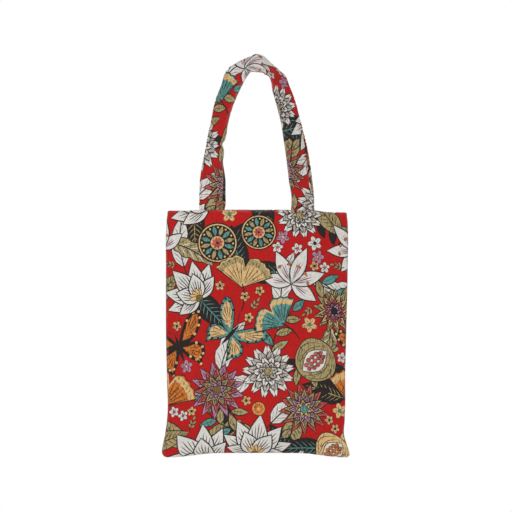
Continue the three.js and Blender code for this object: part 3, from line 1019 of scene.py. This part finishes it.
setBag({-1: frontGrid, 1: frontGrid * (1, -1, 1)})
setBag(settleCloth(frontGrid))
print("bag shaped: cloth", round(2 * halfCloth), "by", round(hemT), "mm")
bagHalves = {-1: ("front", {"Left": -1, "Right": 1}), 1: ("back", {"Whole": 0})}  # the pieces of each side
pieces = {}


def hangOnBag(piece, side):
    # the front half's pieces get their placement applied to their meshes; the back half's are parented to the
    # bag's body
    if side < 0:
        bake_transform(piece)
    else:
        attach(piece, "bag")


def finishCloth(piece, slot, *nodes):
    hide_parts(*nodes)
    pieces[piece.name] = piece


def keepHalf(sign):
    return (lambda middle: middle[:, 0] * sign > 0) if sign else None


panelCut = {
    "corner": {"front": complex(8, 4), "back": complex(180, 230)},  # where on the print a panel is cut
    "rim": (0.25, 0.7, 1.4, 2.4),  # mesh lines close to the edges
    "rubbed": 2.4,
}
lipSteps = hemTurn * np.linspace(-0.2, 1.2, 9)


def panelRubbed(s, t):
    # seams, bottom and mouth, where a carried bag rubs
    gap = np.minimum(np.minimum(halfCloth - np.abs(s), t), np.abs(t - lipT - lipSteps.mean()))
    return np.exp(-(gap / panelCut["rubbed"]) ** 2)


def makePanels():
    window = (-halfCloth, 0, halfCloth, hemT)
    for side, (word, parts) in bagHalves.items():
        middle = (0,) if side < 0 else ()
        cut = cutCloth(window, panelCut["corner"][word], panelCut["rim"], middle, closeRows=lipT + lipSteps)
        for half, sign in parts.items():
            piece = clothMesh(word + "PanelCloth" + half, cut, lambda s, t: onBag(side, -side * s, t),
                              clothCut["thickness"], keepHalf(sign), panelRubbed)
            finishCloth(piece, "printed_cloth", word + "_panel")
            hangOnBag(piece, side)


facingCut = {"depth": 36, "shortOfSeam": 13, "underHem": 0.3, "thickness": 0.95, "rim": (0.3,)}


def makeFacings():
    reach = halfCloth - facingCut["shortOfSeam"]
    tall = facingCut["depth"] - bagBody["hemDepth"] - bagBody["hemRoll"]
    top = lipT - bagBody["hemDepth"] - facingCut["underHem"]
    for side, (word, parts) in bagHalves.items():
        corner = panelCut["corner"][word] + complex(facingCut["shortOfSeam"], hemT)
        cut = cutCloth((-reach, 0, reach, tall), corner, facingCut["rim"], (0,) if side < 0 else ())

        def place(s, t):
            point, normal = onBag(side, -side * s, top - t, -2 * bagBody["hemRoll"])
            return point, -normal

        for half, sign in parts.items():
            piece = clothMesh(word + "FacingCloth" + half, cut, place, facingCut["thickness"], keepHalf(sign))
            finishCloth(piece, "printed_cloth", word + "_facing")
            hangOnBag(piece, side)


def gridCloth(name, face, inward, thickness, material):
    # a plain sheet from rows of points, closed by its other face; inward points to the other face
    rows, columns = face.shape[:2]
    back = face + inward * thickness
    count = rows * columns
    at = np.arange(count).reshape(rows, columns)
    quads = np.stack([at[:-1, :-1], at[:-1, 1:], at[1:, 1:], at[1:, :-1]], -1).reshape(-1, 4)
    border = np.concatenate([at[0, :-1], at[:-1, -1], at[-1, :0:-1], at[:0:-1, 0]])
    after = np.roll(border, -1)
    walls = np.stack([after, border, border + count, after + count], 1)
    mesh = bpy.data.meshes.new(name)
    verts = np.concatenate([face.reshape(-1, 3), back.reshape(-1, 3)]) / 1000
    mesh.from_pydata(verts.tolist(), [], quads.tolist() + (quads[:, ::-1] + count).tolist() + walls.tolist())
    down, across = [np.linalg.norm(np.diff(face, axis=k), axis=2) for k in (0, 1)]
    s = np.cumsum(np.concatenate([np.zeros((rows, 1)), across], 1), 1)
    t = np.cumsum(np.concatenate([np.zeros((1, columns)), down], 0), 0)
    flat = np.tile(np.stack([s, t], -1).reshape(-1, 2), (2, 1)) / 1000
    loops = np.zeros(len(mesh.loops), int)
    mesh.loops.foreach_get("vertex_index", loops)
    mesh.uv_layers.new(name="cloth").data.foreach_set("uv", flat[loops].ravel())
    mesh.polygons.foreach_set("use_smooth", [True] * len(quads) * 2 + [False] * len(walls))
    mesh.materials.append(material)
    mesh.update()
    return newObject(name, mesh)


liningCut = {
    "fromSide": 11.5,
    "fromBottom": 11.5,
    "underFacing": 0.6,
    "behind": 2.3,  # behind the panel's face
    "seamEase": 26,  # over this width both linings come together at their seams
    "apart": 0.25,
    "thickness": 0.7,
    "lowRows": (60, 14), "highRows": (66, 50), "columns": 40,
}


def makeLinings():
    cut = liningCut
    reach = halfCloth - cut["fromSide"]
    top = lipT - facingCut["depth"] + bagBody["hemRoll"] - cut["underFacing"]
    (lowEnd, lowCount), (highStart, highCount) = cut["lowRows"], cut["highRows"]
    t = np.append(np.linspace(cut["fromBottom"], lowEnd, lowCount), np.linspace(highStart, top, highCount))
    for side, (word, parts) in bagHalves.items():
        for half, sign in parts.items():
            c0 = 0 if sign > 0 else -reach
            c1 = 0 if sign < 0 else reach
            c = np.linspace(c0, c1, 2 * cut["columns"] // len(parts) + 1)
            cc, tt = np.meshgrid(c, t)
            point = onBag(side, cc.ravel(), tt.ravel(), -cut["behind"])[0]
            edge = np.minimum(reach - np.abs(cc), tt - cut["fromBottom"]).ravel()
            ease = np.sqrt(smoothstep(edge / cut["seamEase"]))
            point[:, 1] = side * (cut["apart"] + np.maximum(np.abs(point[:, 1]) - cut["apart"], 0) * ease)
            face = point.reshape(len(t), len(c), 3)
            if side < 0:
                face = face[:, ::-1]
            outward = unit(np.cross(np.gradient(face, axis=1), np.gradient(face, axis=0)))
            piece = gridCloth(word + "LiningCloth" + half, face, -outward, cut["thickness"], liningCloth)
            finishCloth(piece, "plain_lining", word + "_lining")
            hangOnBag(piece, side)


seamCut = {
    "allowance": 10.0, "fromEdge": 1.3, "thickness": 1.7,
    "side": (14, 394),  # from and to, above the bottom corners
    "bottom": (-136, 136),
    "sideCorner": complex(40, 60), "bottomCorner": complex(10, 300),
}


def makeSeams():
    # turned-in edges of both panels, pressed together inside the seams
    wide, inset = seamCut["allowance"], seamCut["fromEdge"]
    low, high = seamCut["side"]
    left, right = seamCut["bottom"]

    def leftRun(s, t):
        return smoothLine(bagBody["leftEdge"], t) + (inset + s), bottomZ + t

    def rightRun(s, t):
        return smoothLine(bagBody["rightEdge"], t) - (inset + wide - s), bottomZ + t

    def bottomRun(s, t):
        return s, bottomLine(s / bagBody["halfWidth"]) + inset + t

    side, bottom = (0, low, wide, high), (left, 0, right, wide)
    for word, node, window, corner, run in (
            ("left", "left_side_seam", side, seamCut["sideCorner"], leftRun),
            ("right", "right_side_seam", side, seamCut["sideCorner"], rightRun),
            ("bottom", "bottom_seam", bottom, seamCut["bottomCorner"], bottomRun)):

        def place(s, t):
            x, z = run(s, t)
            point = np.stack([x, np.full_like(x, -seamCut["thickness"] / 2), z], -1)
            return point, np.tile((0.0, -1.0, 0.0), (len(x), 1))

        piece = clothMesh(word + "SeamAllowance", cutCloth(window, corner), place, seamCut["thickness"])
        finishCloth(piece, "printed_cloth", node)
        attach(piece, "bag")


makePanels()
print("panels sewn:", [len(p.data.polygons) for p in pieces.values()])
makeFacings()
makeLinings()
makeSeams()
print("facings, linings and seams made")

strap = {
    "width": 38.0,
    "half": 1.9,  # of its thickness
    "tail": 26.0,  # length of a sewn end
    "cloth": 0.9,
    "felt": (33.0, 1.1),
    "feltShort": 0.4,
    "thicker": 0.06,  # in the middle of its width
    "stitchInset": 4.0,
    "stitchDip": (0.22, 1.4),  # how much and how widely the stitches draw the cloth in
    "rubbed": 1.9,
    "fromMiddle": (20.1, 16.3, 236),  # of the bag: at the mouth, at the crown, and the crown's height
    "clear": (0.4, 1.2),  # room for the bulge, and to the other strap
    "behindFace": 4.5,  # depth of the sewn ends behind the panel's face
    "freeFrom": 2,  # height above the mouth at which it leaves the panel
    "hinge": (28, -2, 42),  # where it would bend if folded down: out from the middle, from and to above the mouth
    "corner": {"front": complex(150, 40), "back": complex(20, 200)},
    "samples": 420,
    "blur": 6,
    "rim": (0.5, 1.2, 2.0),
    "foldLines": np.arange(-4, 4.5, 0.8),  # mesh lines around the outer fold
    "bendRows": np.arange(1.5, 50, 1.7),  # mesh rows above the mouth
    "feltMesh": (220, 9),
    # the strap's outer and inner edge as seen from the front: across and above the mouth, for each
    "front": [
        (-92.3, -29, -54.7, -29), (-92.3, -16, -54.7, -16), (-92.8, -3, -55.1, -3), (-93.9, 5, -56, 5),
        (-93.4, 27.5, -55.5, 27.5), (-92.3, 50.2, -54.6, 49.4), (-87.2, 79.4, -55.5, 74.5),
        (-81.5, 106.9, -54.8, 100.4), (-80.7, 111.8, -56.6, 105.4), (-79.9, 116.7, -53.2, 110.4),
        (-74, 145, -47.6, 137.7), (-67.4, 176.6, -39.5, 166.1), (-58.6, 199.3, -30.8, 187.1),
        (-46.2, 229.3, -20.2, 208.2), (-29.2, 239.3, -14.6, 218.7), (-13, 246.6, -11.3, 222.6),
        (0, 251.3, 0.6, 222.6), (11, 247.4, 7, 222.2), (21.9, 235.2, 12.5, 221.3), (44.2, 217.1, 21.1, 211.8),
        (51.4, 200.9, 25.1, 191.2), (60.8, 177.4, 31.8, 166.9), (69, 145.8, 38.9, 137.7),
        (74.5, 116.6, 43.1, 109.4), (79.1, 84.2, 47.6, 78.6), (83.8, 50.2, 51.4, 46.2),
        (90.8, 14.6, 56.2, 13), (92.6, -3, 56, -3), (92.3, -16, 54.7, -16), (92.3, -29, 54.7, -29)],
    "back": [
        (-92.3, -29, -54.7, -29), (-92.3, -16, -54.7, -16), (-91.3, -3, -53.6, -3), (-89.2, 5, -51.6, 5),
        (-88.6, 27.5, -51.2, 27.5), (-87.3, 50.2, -51.4, 49.4), (-84.5, 79.4, -55.3, 74.5),
        (-79.5, 111.8, -57.4, 106), (-73, 145, -48.2, 137.7), (-66.4, 176.6, -40.2, 166.1),
        (-57.6, 199, -31.5, 187.5), (-45.4, 228.5, -21, 209), (-28.6, 238.2, -14.4, 219.5),
        (-12.6, 245.4, -11.2, 223.4), (0.3, 250, 0.6, 223.4), (10.8, 246.2, 7, 223), (21.2, 235.4, 12.6, 222),
        (43.2, 216.3, 21.6, 212.4), (50.6, 200.6, 26, 192), (60.2, 177.2, 32.6, 167.5), (69.4, 146, 40, 138),
        (77.5, 117, 44.6, 109.8), (84.2, 84.6, 48.6, 79), (88.9, 50.6, 52.6, 47), (92.3, 15, 55.6, 14),
        (92.2, -3, 54.6, -3), (92.3, -16, 54.7, -16), (92.3, -29, 54.7, -29)],
    # creases where it is bent: row of its edge table, how far one side stands forward, over what width
    "frontCreases": [(8, 2.4, 1.2), (13, 1.6, 4.0), (15, 3.2, 0.9), (19, 1.8, 2.0)],
    "backCreases": [(12, 2.0, 2.0), (16, 2.0, 2.0)],
    "creaseReach": 14.0,
}


def strapSection():
    # the folded cloth's outline in a cut across the strap, from its inner edge along its face and round
    half, r = strap["width"] / 2, strap["half"]
    outline = []

    def roundEdge(middle, start, count):
        for k in range(count):
            a = math.radians(start + 22.5 * k)
            outline.append((middle + r * math.cos(a), r * math.sin(a)))

    roundEdge(-half + r, 180, 5)
    outline += [(w, -r) for w in np.linspace(-half + r, half - r, 41)[1:-1]]
    roundEdge(half - r, -90, 9)
    outline += [(w, r) for w in np.linspace(half - r, -half + r, 41)[1:-1]]
    roundEdge(-half + r, 90, 5)
    w, o = np.array(outline).T
    deep, wide = strap["stitchDip"]
    dip = np.exp(-((np.abs(w) - half + strap["stitchInset"]) / wide) ** 2)
    o = o * (1 + strap["thicker"] * np.cos(math.pi * w / 2 / half) - deep * dip)
    points = np.stack([w, o], -1)
    q = lengths(points)
    slope = unit(np.gradient(points, q, axis=0))
    return q, points, np.stack([slope[:, 1], -slope[:, 0]], -1)


sectionQ, sectionPoints, sectionNormals = strapSection()
sectionFaces = {-1: slice(4, 44), 1: slice(53, 93)}  # which outline points lie on its face and on its back


def strapFrames(word):
    # middle line, directions across and outwards, and creases, as on the front; onStrap mirrors the back one
    table = np.array(strap[word])
    chord = lengths((table[:, :2] + table[:, 2:]) / 2)
    at = np.linspace(0, chord[-1], strap["samples"])
    xo, zo, xi, zi = [smoothLine(np.stack([chord, table[:, k]], -1), at) for k in range(4)]
    x, z, wide = (xo + xi) / 2, (zo + zi) / 2, np.hypot(xo - xi, zo - zi)
    away = np.stack([xo - xi, np.zeros(len(x)), zo - zi], -1) / wide[:, None]
    tilt = np.arccos(np.clip(wide / strap["width"], 0.5, 1))  # it looks narrower where it is turned
    atMouth, atCrown, crown = strap["fromMiddle"]
    y = atMouth + (atCrown - atMouth) * smoothstep(z / crown)
    bulge, gap = strap["clear"]
    clear = strap["width"] / 2 * np.sin(tilt) + (strap["half"] + bulge) * np.cos(tilt) + gap
    y = -np.where(z > 0, np.maximum(y, clear), y)
    down = lipT + np.minimum(z, 0) + bagBody["hemRoll"]
    leg = onBag(-1, np.clip(x, -halfCloth, halfCloth), down, -strap["behindFace"])[0][:, 1]
    y = np.where(z < strap["freeFrom"], leg, y)
    blur = strap["blur"]
    y = np.convolve(np.pad(y, blur, mode="edge"), np.ones(2 * blur + 1) / (2 * blur + 1), "valid")
    middle = np.stack([x, y, mouthZ + z], -1)
    l = lengths(middle) - strap["tail"]
    lean = np.array((0.0, 1.0, 0.0))
    across = away * np.cos(tilt)[:, None] + lean * np.sin(tilt)[:, None]
    out = away * np.sin(tilt)[:, None] - lean * np.cos(tilt)[:, None]
    creases = [(np.interp(chord[row], at, l), high, soft) for row, high, soft in strap[word + "Creases"]]
    return {"along": l, "middle": middle, "across": across, "out": out, "creases": creases}


def creased(creases, l):
    # how far the strap is pushed forward at l
    rise = np.zeros(np.shape(l))
    for at, high, soft in creases:
        step = 0.5 - 0.5 * np.tanh((l - at) / soft)
        rise += high * step * np.exp(-((l - at) / strap["creaseReach"]) ** 2)
    return rise


def creaseRows(creases):
    # mesh rows on and beside each crease, counted in its width
    near = np.concatenate([np.arange(-3, 3.1, 0.5), (-9, -6, 6, 9)])
    return [at + soft * k for at, _, soft in creases for k in near]


def alongStrap(frames, l):
    m, a, b = [np.stack([np.interp(l, frames["along"], frames[name][:, k]) for k in range(3)], -1)
               for name in ("middle", "across", "out")]
    m[:, 1] -= creased(frames["creases"], l)
    return m, a, b


def onStrap(frames, q, l, side, lift=0.0):
    # q runs around the strap's section, l along it from the mouth's left edge to the right one
    if side > 0:
        q = sectionQ[-1] - q
    w, o = [np.interp(q, sectionQ, sectionPoints[:, k]) for k in (0, 1)]
    nw, no = [np.interp(q, sectionQ, sectionNormals[:, k]) for k in (0, 1)]
    m, a, b = alongStrap(frames, l)
    near, creases = 0.05, frames["creases"]
    slope = (creased(creases, l + near) - creased(creases, l - near)) / (2 * near)
    normal = unit(a * nw[:, None] + b * no[:, None])
    normal = unit(normal + np.cross(a, b) * (slope * normal[:, 1])[:, None])
    flip = np.array((1.0, -side, 1.0))
    return (m + a * w[:, None] + b * o[:, None] + normal * lift) * flip, normal * flip


strapLines = {}


def strapRubbed(q, l):
    gap = np.minimum(np.minimum(q, sectionQ[-1] - q), np.abs(q - sectionQ[-1] / 2))
    return np.exp(-(gap / strap["rubbed"]) ** 2)


def blendHandle(piece):
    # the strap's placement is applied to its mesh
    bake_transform(piece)


def makeHandles():
    tail, around = strap["tail"], sectionQ[-1]
    turns = around / 2 + strap["foldLines"]
    for side, (word, _) in bagHalves.items():
        frames = strapFrames(word)
        total = frames["along"][-1] - tail
        strapLines[word] = (frames, total)
        folds = creaseRows(frames["creases"])
        rows = np.concatenate([strap["bendRows"], total - strap["bendRows"], folds])
        runs = {
            "HandleStrap": ("_handle_wrap", 0, total),
            "LeftHandleEnd": ("_left_handle_end", -tail, 0),
            "RightHandleEnd": ("_right_handle_end", total, total + tail),
        }
        for name, (node, low, high) in runs.items():
            bends = rows[(rows > low) & (rows < high)]
            corner = strap["corner"][word] + 1j * low
            cut = cutCloth((0, low, around, high), corner, strap["rim"], (), turns, bends)
            piece = clothMesh(word + name, cut, lambda q, l: onStrap(frames, q, l, side), strap["cloth"],
                              None, strapRubbed)
            finishCloth(piece, "printed_cloth", word + node)
            if name == "HandleStrap":
                blendHandle(piece)
            else:
                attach(piece, "front" if side < 0 else "bag")
        count, columns = strap["feltMesh"]
        wide, thick = strap["felt"]
        l = np.sort(np.append(np.linspace(strap["feltShort"], total - strap["feltShort"], count), folds))
        w = np.linspace(-wide / 2, wide / 2, columns)
        m, a, b = alongStrap(frames, l)
        face = m[:, None] + a[:, None] * w[:, None] + b[:, None] * thick / 2
        inward = np.repeat(-b[:, None], columns, 1)
        flip = np.array((1.0, -side, 1.0))
        if side < 0:
            face, inward = face[:, ::-1], inward[:, ::-1]
        piece = gridCloth(word + "HandleFelt", face * flip, inward * flip, thick, feltStrip)
        finishCloth(piece, "interlining", word + "_handle_interlining")
        blendHandle(piece)


makeHandles()
handleLengths = {word: round(total) for word, (_, total) in strapLines.items()}
print("handles made:", handleLengths, "mm between the mouth's edges")

stitching = {
    "pitch": 3.4, "length": 2.6, "width": 0.5, "height": 0.34,
    "fromMouth": 4.0, "fromSeam": 12, "fromFacingEdge": 3.0, "fromFacingEnd": 1,
    "fromEndEdge": 4.5,  # box stitch to the mouth and to the strap's cut end
    "insideEdgeRow": 1,  # box stitch to the strap's edge stitches
    "fromWrapEnd": 1,
    "onBag": 0.15, "onStrap": 0.12,  # how far the threads stand off the cloth
    "bagPoints": 120, "boxPoints": 14, "strapPoints": 300,
}


def stitchTree():
    # short thread humps set along a line, each turned to the line and to the cloth under it
    tree = bpy.data.node_groups.new("stitchRow", "GeometryNodeTree")
    inputs = {"Line": "Geometry", "Pitch": "Float", "Stitch Size": "Vector", "Thread": "Material"}
    for name, kind in inputs.items():
        tree.interface.new_socket(name, in_out="INPUT", socket_type="NodeSocket" + kind)
    tree.interface.new_socket("Stitches", in_out="OUTPUT", socket_type="NodeSocketGeometry")
    given = addNode(tree, "NodeGroupInput")
    curve = addNode(tree, "GeometryNodeMeshToCurve", {"Mesh": given.outputs["Line"]})
    spaced = addNode(tree, "GeometryNodeResampleCurve", {
        "Curve": curve.outputs[0], "Length": given.outputs["Pitch"]}, mode="LENGTH")
    along = addNode(tree, "GeometryNodeInputTangent")
    facing = addNode(tree, "GeometryNodeInputNamedAttribute", {"Name": "facing"}, data_type="FLOAT_VECTOR")
    turned = addNode(tree, "FunctionNodeAlignEulerToVector", {"Vector": along.outputs[0]}, axis="X")
    upright = addNode(tree, "FunctionNodeAlignEulerToVector", {
        "Rotation": turned.outputs[0], "Vector": facing.outputs["Attribute"]}, axis="Z", pivot_axis="X")
    ball = addNode(tree, "GeometryNodeMeshUVSphere", {"Segments": 8, "Rings": 5, "Radius": 0.5})
    hump = addNode(tree, "GeometryNodeTransform", {
        "Geometry": ball.outputs["Mesh"], "Scale": given.outputs["Stitch Size"]})
    laid = addNode(tree, "GeometryNodeInstanceOnPoints", {
        "Points": spaced.outputs[0], "Instance": hump.outputs[0], "Rotation": upright.outputs[0]})
    real = addNode(tree, "GeometryNodeRealizeInstances", {"Geometry": laid.outputs[0]})
    soft = addNode(tree, "GeometryNodeSetShadeSmooth", {"Geometry": real.outputs[0]})
    dyed = addNode(tree, "GeometryNodeSetMaterial", {
        "Geometry": soft.outputs[0], "Material": given.outputs["Thread"]})
    addNode(tree, "NodeGroupOutput", {"Stitches": dyed.outputs[0]})
    return tree


stitchRow = stitchTree()


def sew(name, lines):
    points = np.concatenate([p for p, _ in lines]) / 1000
    facing = np.concatenate([n for _, n in lines])
    edges, first = [], 0
    for p, _ in lines:
        edges += [(first + k, first + k + 1) for k in range(len(p) - 1)]
        first += len(p)
    mesh = bpy.data.meshes.new(name + "Line")
    mesh.from_pydata(points.tolist(), edges, [])
    mesh.attributes.new("facing", "FLOAT_VECTOR", "POINT").data.foreach_set("vector", facing.ravel())
    piece = newObject(name, mesh)
    rows = piece.modifiers.new("stitchRow", "NODES")
    rows.node_group = stitchRow
    sockets = {item.name: item.identifier for item in stitchRow.interface.items_tree
               if item.in_out == "INPUT"}
    rows[sockets["Pitch"]] = stitching["pitch"] / 1000
    rows[sockets["Stitch Size"]] = [stitching[k] / 1000 for k in ("length", "width", "height")]
    rows[sockets["Thread"]] = sewingThread
    bpy.context.view_layer.update()
    made = bpy.data.meshes.new_from_object(piece.evaluated_get(bpy.context.evaluated_depsgraph_get()))
    piece.modifiers.clear()
    piece.data = made
    made.name = name
    return piece


def strapRow(word, side, w, l, face):
    # a line on the strap's face (-1) or on its back (1), at distance w from its middle
    part = sectionFaces[face]
    q = np.interp(-face * w, -face * sectionPoints[part, 0], sectionQ[part])
    q = q if side < 0 else sectionQ[-1] - q
    return onStrap(strapLines[word][0], q, l, side, stitching["onStrap"])


def makeStitches():
    count, lift = stitching["bagPoints"], stitching["onBag"]
    rimT = lipT + bagBody["hemRoll"]
    tail, inset = strap["tail"], stitching["fromEndEdge"]
    edgeW = strap["width"] / 2 - strap["stitchInset"]
    boxW = edgeW - stitching["insideEdgeRow"]
    facingReach = halfCloth - facingCut["shortOfSeam"] - stitching["fromFacingEnd"]
    for side, (word, _) in bagHalves.items():
        frames, total = strapLines[word]
        for half, sign in (("Left", -1), ("Right", 1)):
            c = np.linspace(0, sign * (halfCloth - stitching["fromSeam"]), count)
            top = onBag(side, c, np.full(count, rimT - stitching["fromMouth"]), lift)
            c = np.linspace(0, sign * facingReach, count)
            low = rimT - facingCut["depth"] + stitching["fromFacingEdge"]
            under, outward = onBag(side, c, np.full(count, low), -2 * bagBody["hemRoll"] - lift)
            for name, node, line in (("MouthTopstitch", "_mouth_topstitch", top),
                                     ("FacingStitch", "_facing_stitch", (under, -outward))):
                piece = sew(word + name + half, [line])
                finishCloth(piece, "sewing_thread", word + node)
                hangOnBag(piece, side)
            near, far = (-inset, inset - tail) if sign < 0 else (total + inset, total + tail - inset)
            corners = [(-boxW, near), (boxW, near), (boxW, far), (-boxW, far), (-boxW, near)]
            runs = list(zip(corners, corners[1:])) + [(corners[0], corners[2]), (corners[1], corners[3])]
            f = np.linspace(0, 1, stitching["boxPoints"])
            lines = []
            for (w0, l0), (w1, l1) in runs:
                lines.append(strapRow(word, side, w0 + (w1 - w0) * f, l0 + (l1 - l0) * f, -1))
            piece = sew(word + half + "BoxStitch", lines)
            finishCloth(piece, "sewing_thread", word + "_" + half.lower() + "_box_stitch")
            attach(piece, "front" if side < 0 else "bag")
        short = stitching["fromWrapEnd"]
        l = np.linspace(short, total - short, stitching["strapPoints"])
        l = np.sort(np.append(l, creaseRows(frames["creases"])))
        for edge, sign in (("Inner", -1), ("Outer", 1)):
            w = np.full(len(l), sign * edgeW)
            lines = [strapRow(word, side, w, l, face) for face in (-1, 1)]
            piece = sew(word + "Strap" + edge + "Stitch", lines)
            finishCloth(piece, "sewing_thread", word + "_handle_" + edge.lower() + "_stitch")
            blendHandle(piece)


makeStitches()
print("stitches sewn:", sum(len(p.data.polygons) for n, p in pieces.items() if "titch" in n), "faces")

studio = {  # in metres
    "distance": 12.0,
    "across": 0.8253,  # what fills the picture's width
    "middle": (-0.0019, -0.29625),
    "bagFace": 0.028,  # the front panel stands this far before the origin
    "sensor": 36,
    "floor": -0.95,
    "floorRadius": 1.4,
    "floorSides": 96,
    "floorFade": (0.5, 1.35),
    "floorMottle": 0.111,
    "floorPaint": ("#ECECEA", "#F4F4F2"),
    "world": 0.45,
    # power, size and place of each lamp, all turned to the bag's middle
    "lamps": {
        "keySoftbox": (23.6, 1.6, (-1.1, -2.0, 0.4)),
        "fillSoftbox": (11.0, 1.8, (1.5, -1.7, 0.2)),
        "backSoftbox": (26.0, 1.8, (0.7, 2.1, 0.8)),
    },
    "aim": (0, 0, -0.33),
}


def seenDirectly(tree):
    # 1 for what the camera, a gloss or a glass shows, 0 for what only lights the bag
    rays = addNode(tree, "ShaderNodeLightPath")
    seen = addNode(tree, "ShaderNodeMath", {
        0: rays.outputs["Is Camera Ray"], 1: rays.outputs["Is Glossy Ray"]}, operation="MAXIMUM").outputs[0]
    return addNode(tree, "ShaderNodeMath", {0: seen, 1: rays.outputs["Is Transmission Ray"]},
                   operation="MAXIMUM").outputs[0]


def paintedStudioFloor():
    # matt white paint, faintly mottled, that fades into the white background at its rim
    material, tree = newMaterial("paintedStudioFloor")
    place = addNode(tree, "ShaderNodeTexCoord").outputs["Object"]
    mottle = addNode(tree, "ShaderNodeTexNoise", {
        "Vector": place, "Scale": 1 / studio["floorMottle"]}).outputs["Fac"]
    dull, bright = [linear(paint) for paint in studio["floorPaint"]]
    paint = addNode(tree, "ShaderNodeMix", {0: mottle, 6: dull, 7: bright}, data_type="RGBA").outputs[2]
    shader = addNode(tree, "ShaderNodeBsdfPrincipled", {"Base Color": paint, "Roughness": 0.8})
    fromMiddle = addNode(tree, "ShaderNodeVectorMath", {0: place}, operation="LENGTH").outputs["Value"]
    near, far = [math.hypot(r, studio["floor"]) for r in studio["floorFade"]]
    fade = addNode(tree, "ShaderNodeMapRange", {"Value": fromMiddle, "From Min": near, "From Max": far},
                   interpolation_type="SMOOTHSTEP").outputs["Result"]
    away = addNode(tree, "ShaderNodeMath", {0: fade, 1: seenDirectly(tree)}, operation="MULTIPLY").outputs[0]
    white = addNode(tree, "ShaderNodeEmission", {"Color": (1, 1, 1, 1), "Strength": 1.0})
    both = addNode(tree, "ShaderNodeMixShader", {0: away, 1: shader.outputs[0], 2: white.outputs[0]})
    addNode(tree, "ShaderNodeOutputMaterial", {"Surface": both.outputs[0]})
    return material


def makeStudio():
    sides, radius = studio["floorSides"], studio["floorRadius"]
    turns = [math.tau * k / sides for k in range(sides)]
    mesh = bpy.data.meshes.new("paleFloor")
    mesh.from_pydata([(radius * math.cos(a), radius * math.sin(a), studio["floor"]) for a in turns], [],
                     [tuple(range(sides))])
    mesh.materials.append(paintedStudioFloor())
    newObject("paleFloor", mesh)

    world = bpy.data.worlds.new("studioWorld")
    world.use_nodes = True
    tree = world.node_tree
    tree.nodes.clear()
    level = addNode(tree, "ShaderNodeMapRange", {
        "Value": seenDirectly(tree), "To Min": studio["world"], "To Max": 1.0}).outputs["Result"]
    light = addNode(tree, "ShaderNodeBackground", {"Color": (1, 1, 1, 1), "Strength": level})
    addNode(tree, "ShaderNodeOutputWorld", {"Surface": light.outputs[0]})
    scene.world = world

    for name, (power, size, spot) in studio["lamps"].items():
        lamp = bpy.data.lights.new(name, "AREA")
        lamp.energy = power
        lamp.size = size
        holder = newObject(name, lamp)
        holder.location = spot
        holder.rotation_euler = (Vector(studio["aim"]) - Vector(spot)).to_track_quat("-Z", "Y").to_euler()

    camera = bpy.data.cameras.new("photoCamera")
    camera.sensor_width = studio["sensor"]
    camera.lens = studio["sensor"] * (studio["distance"] - studio["bagFace"]) / studio["across"]
    view = newObject("photoCamera", camera)
    view.location = (studio["middle"][0], -studio["distance"], studio["middle"][1])
    view.rotation_euler = (math.pi / 2, 0, 0)
    scene.camera = view
    scene.view_settings.view_transform = "Standard"


makeStudio()
print("studio set")
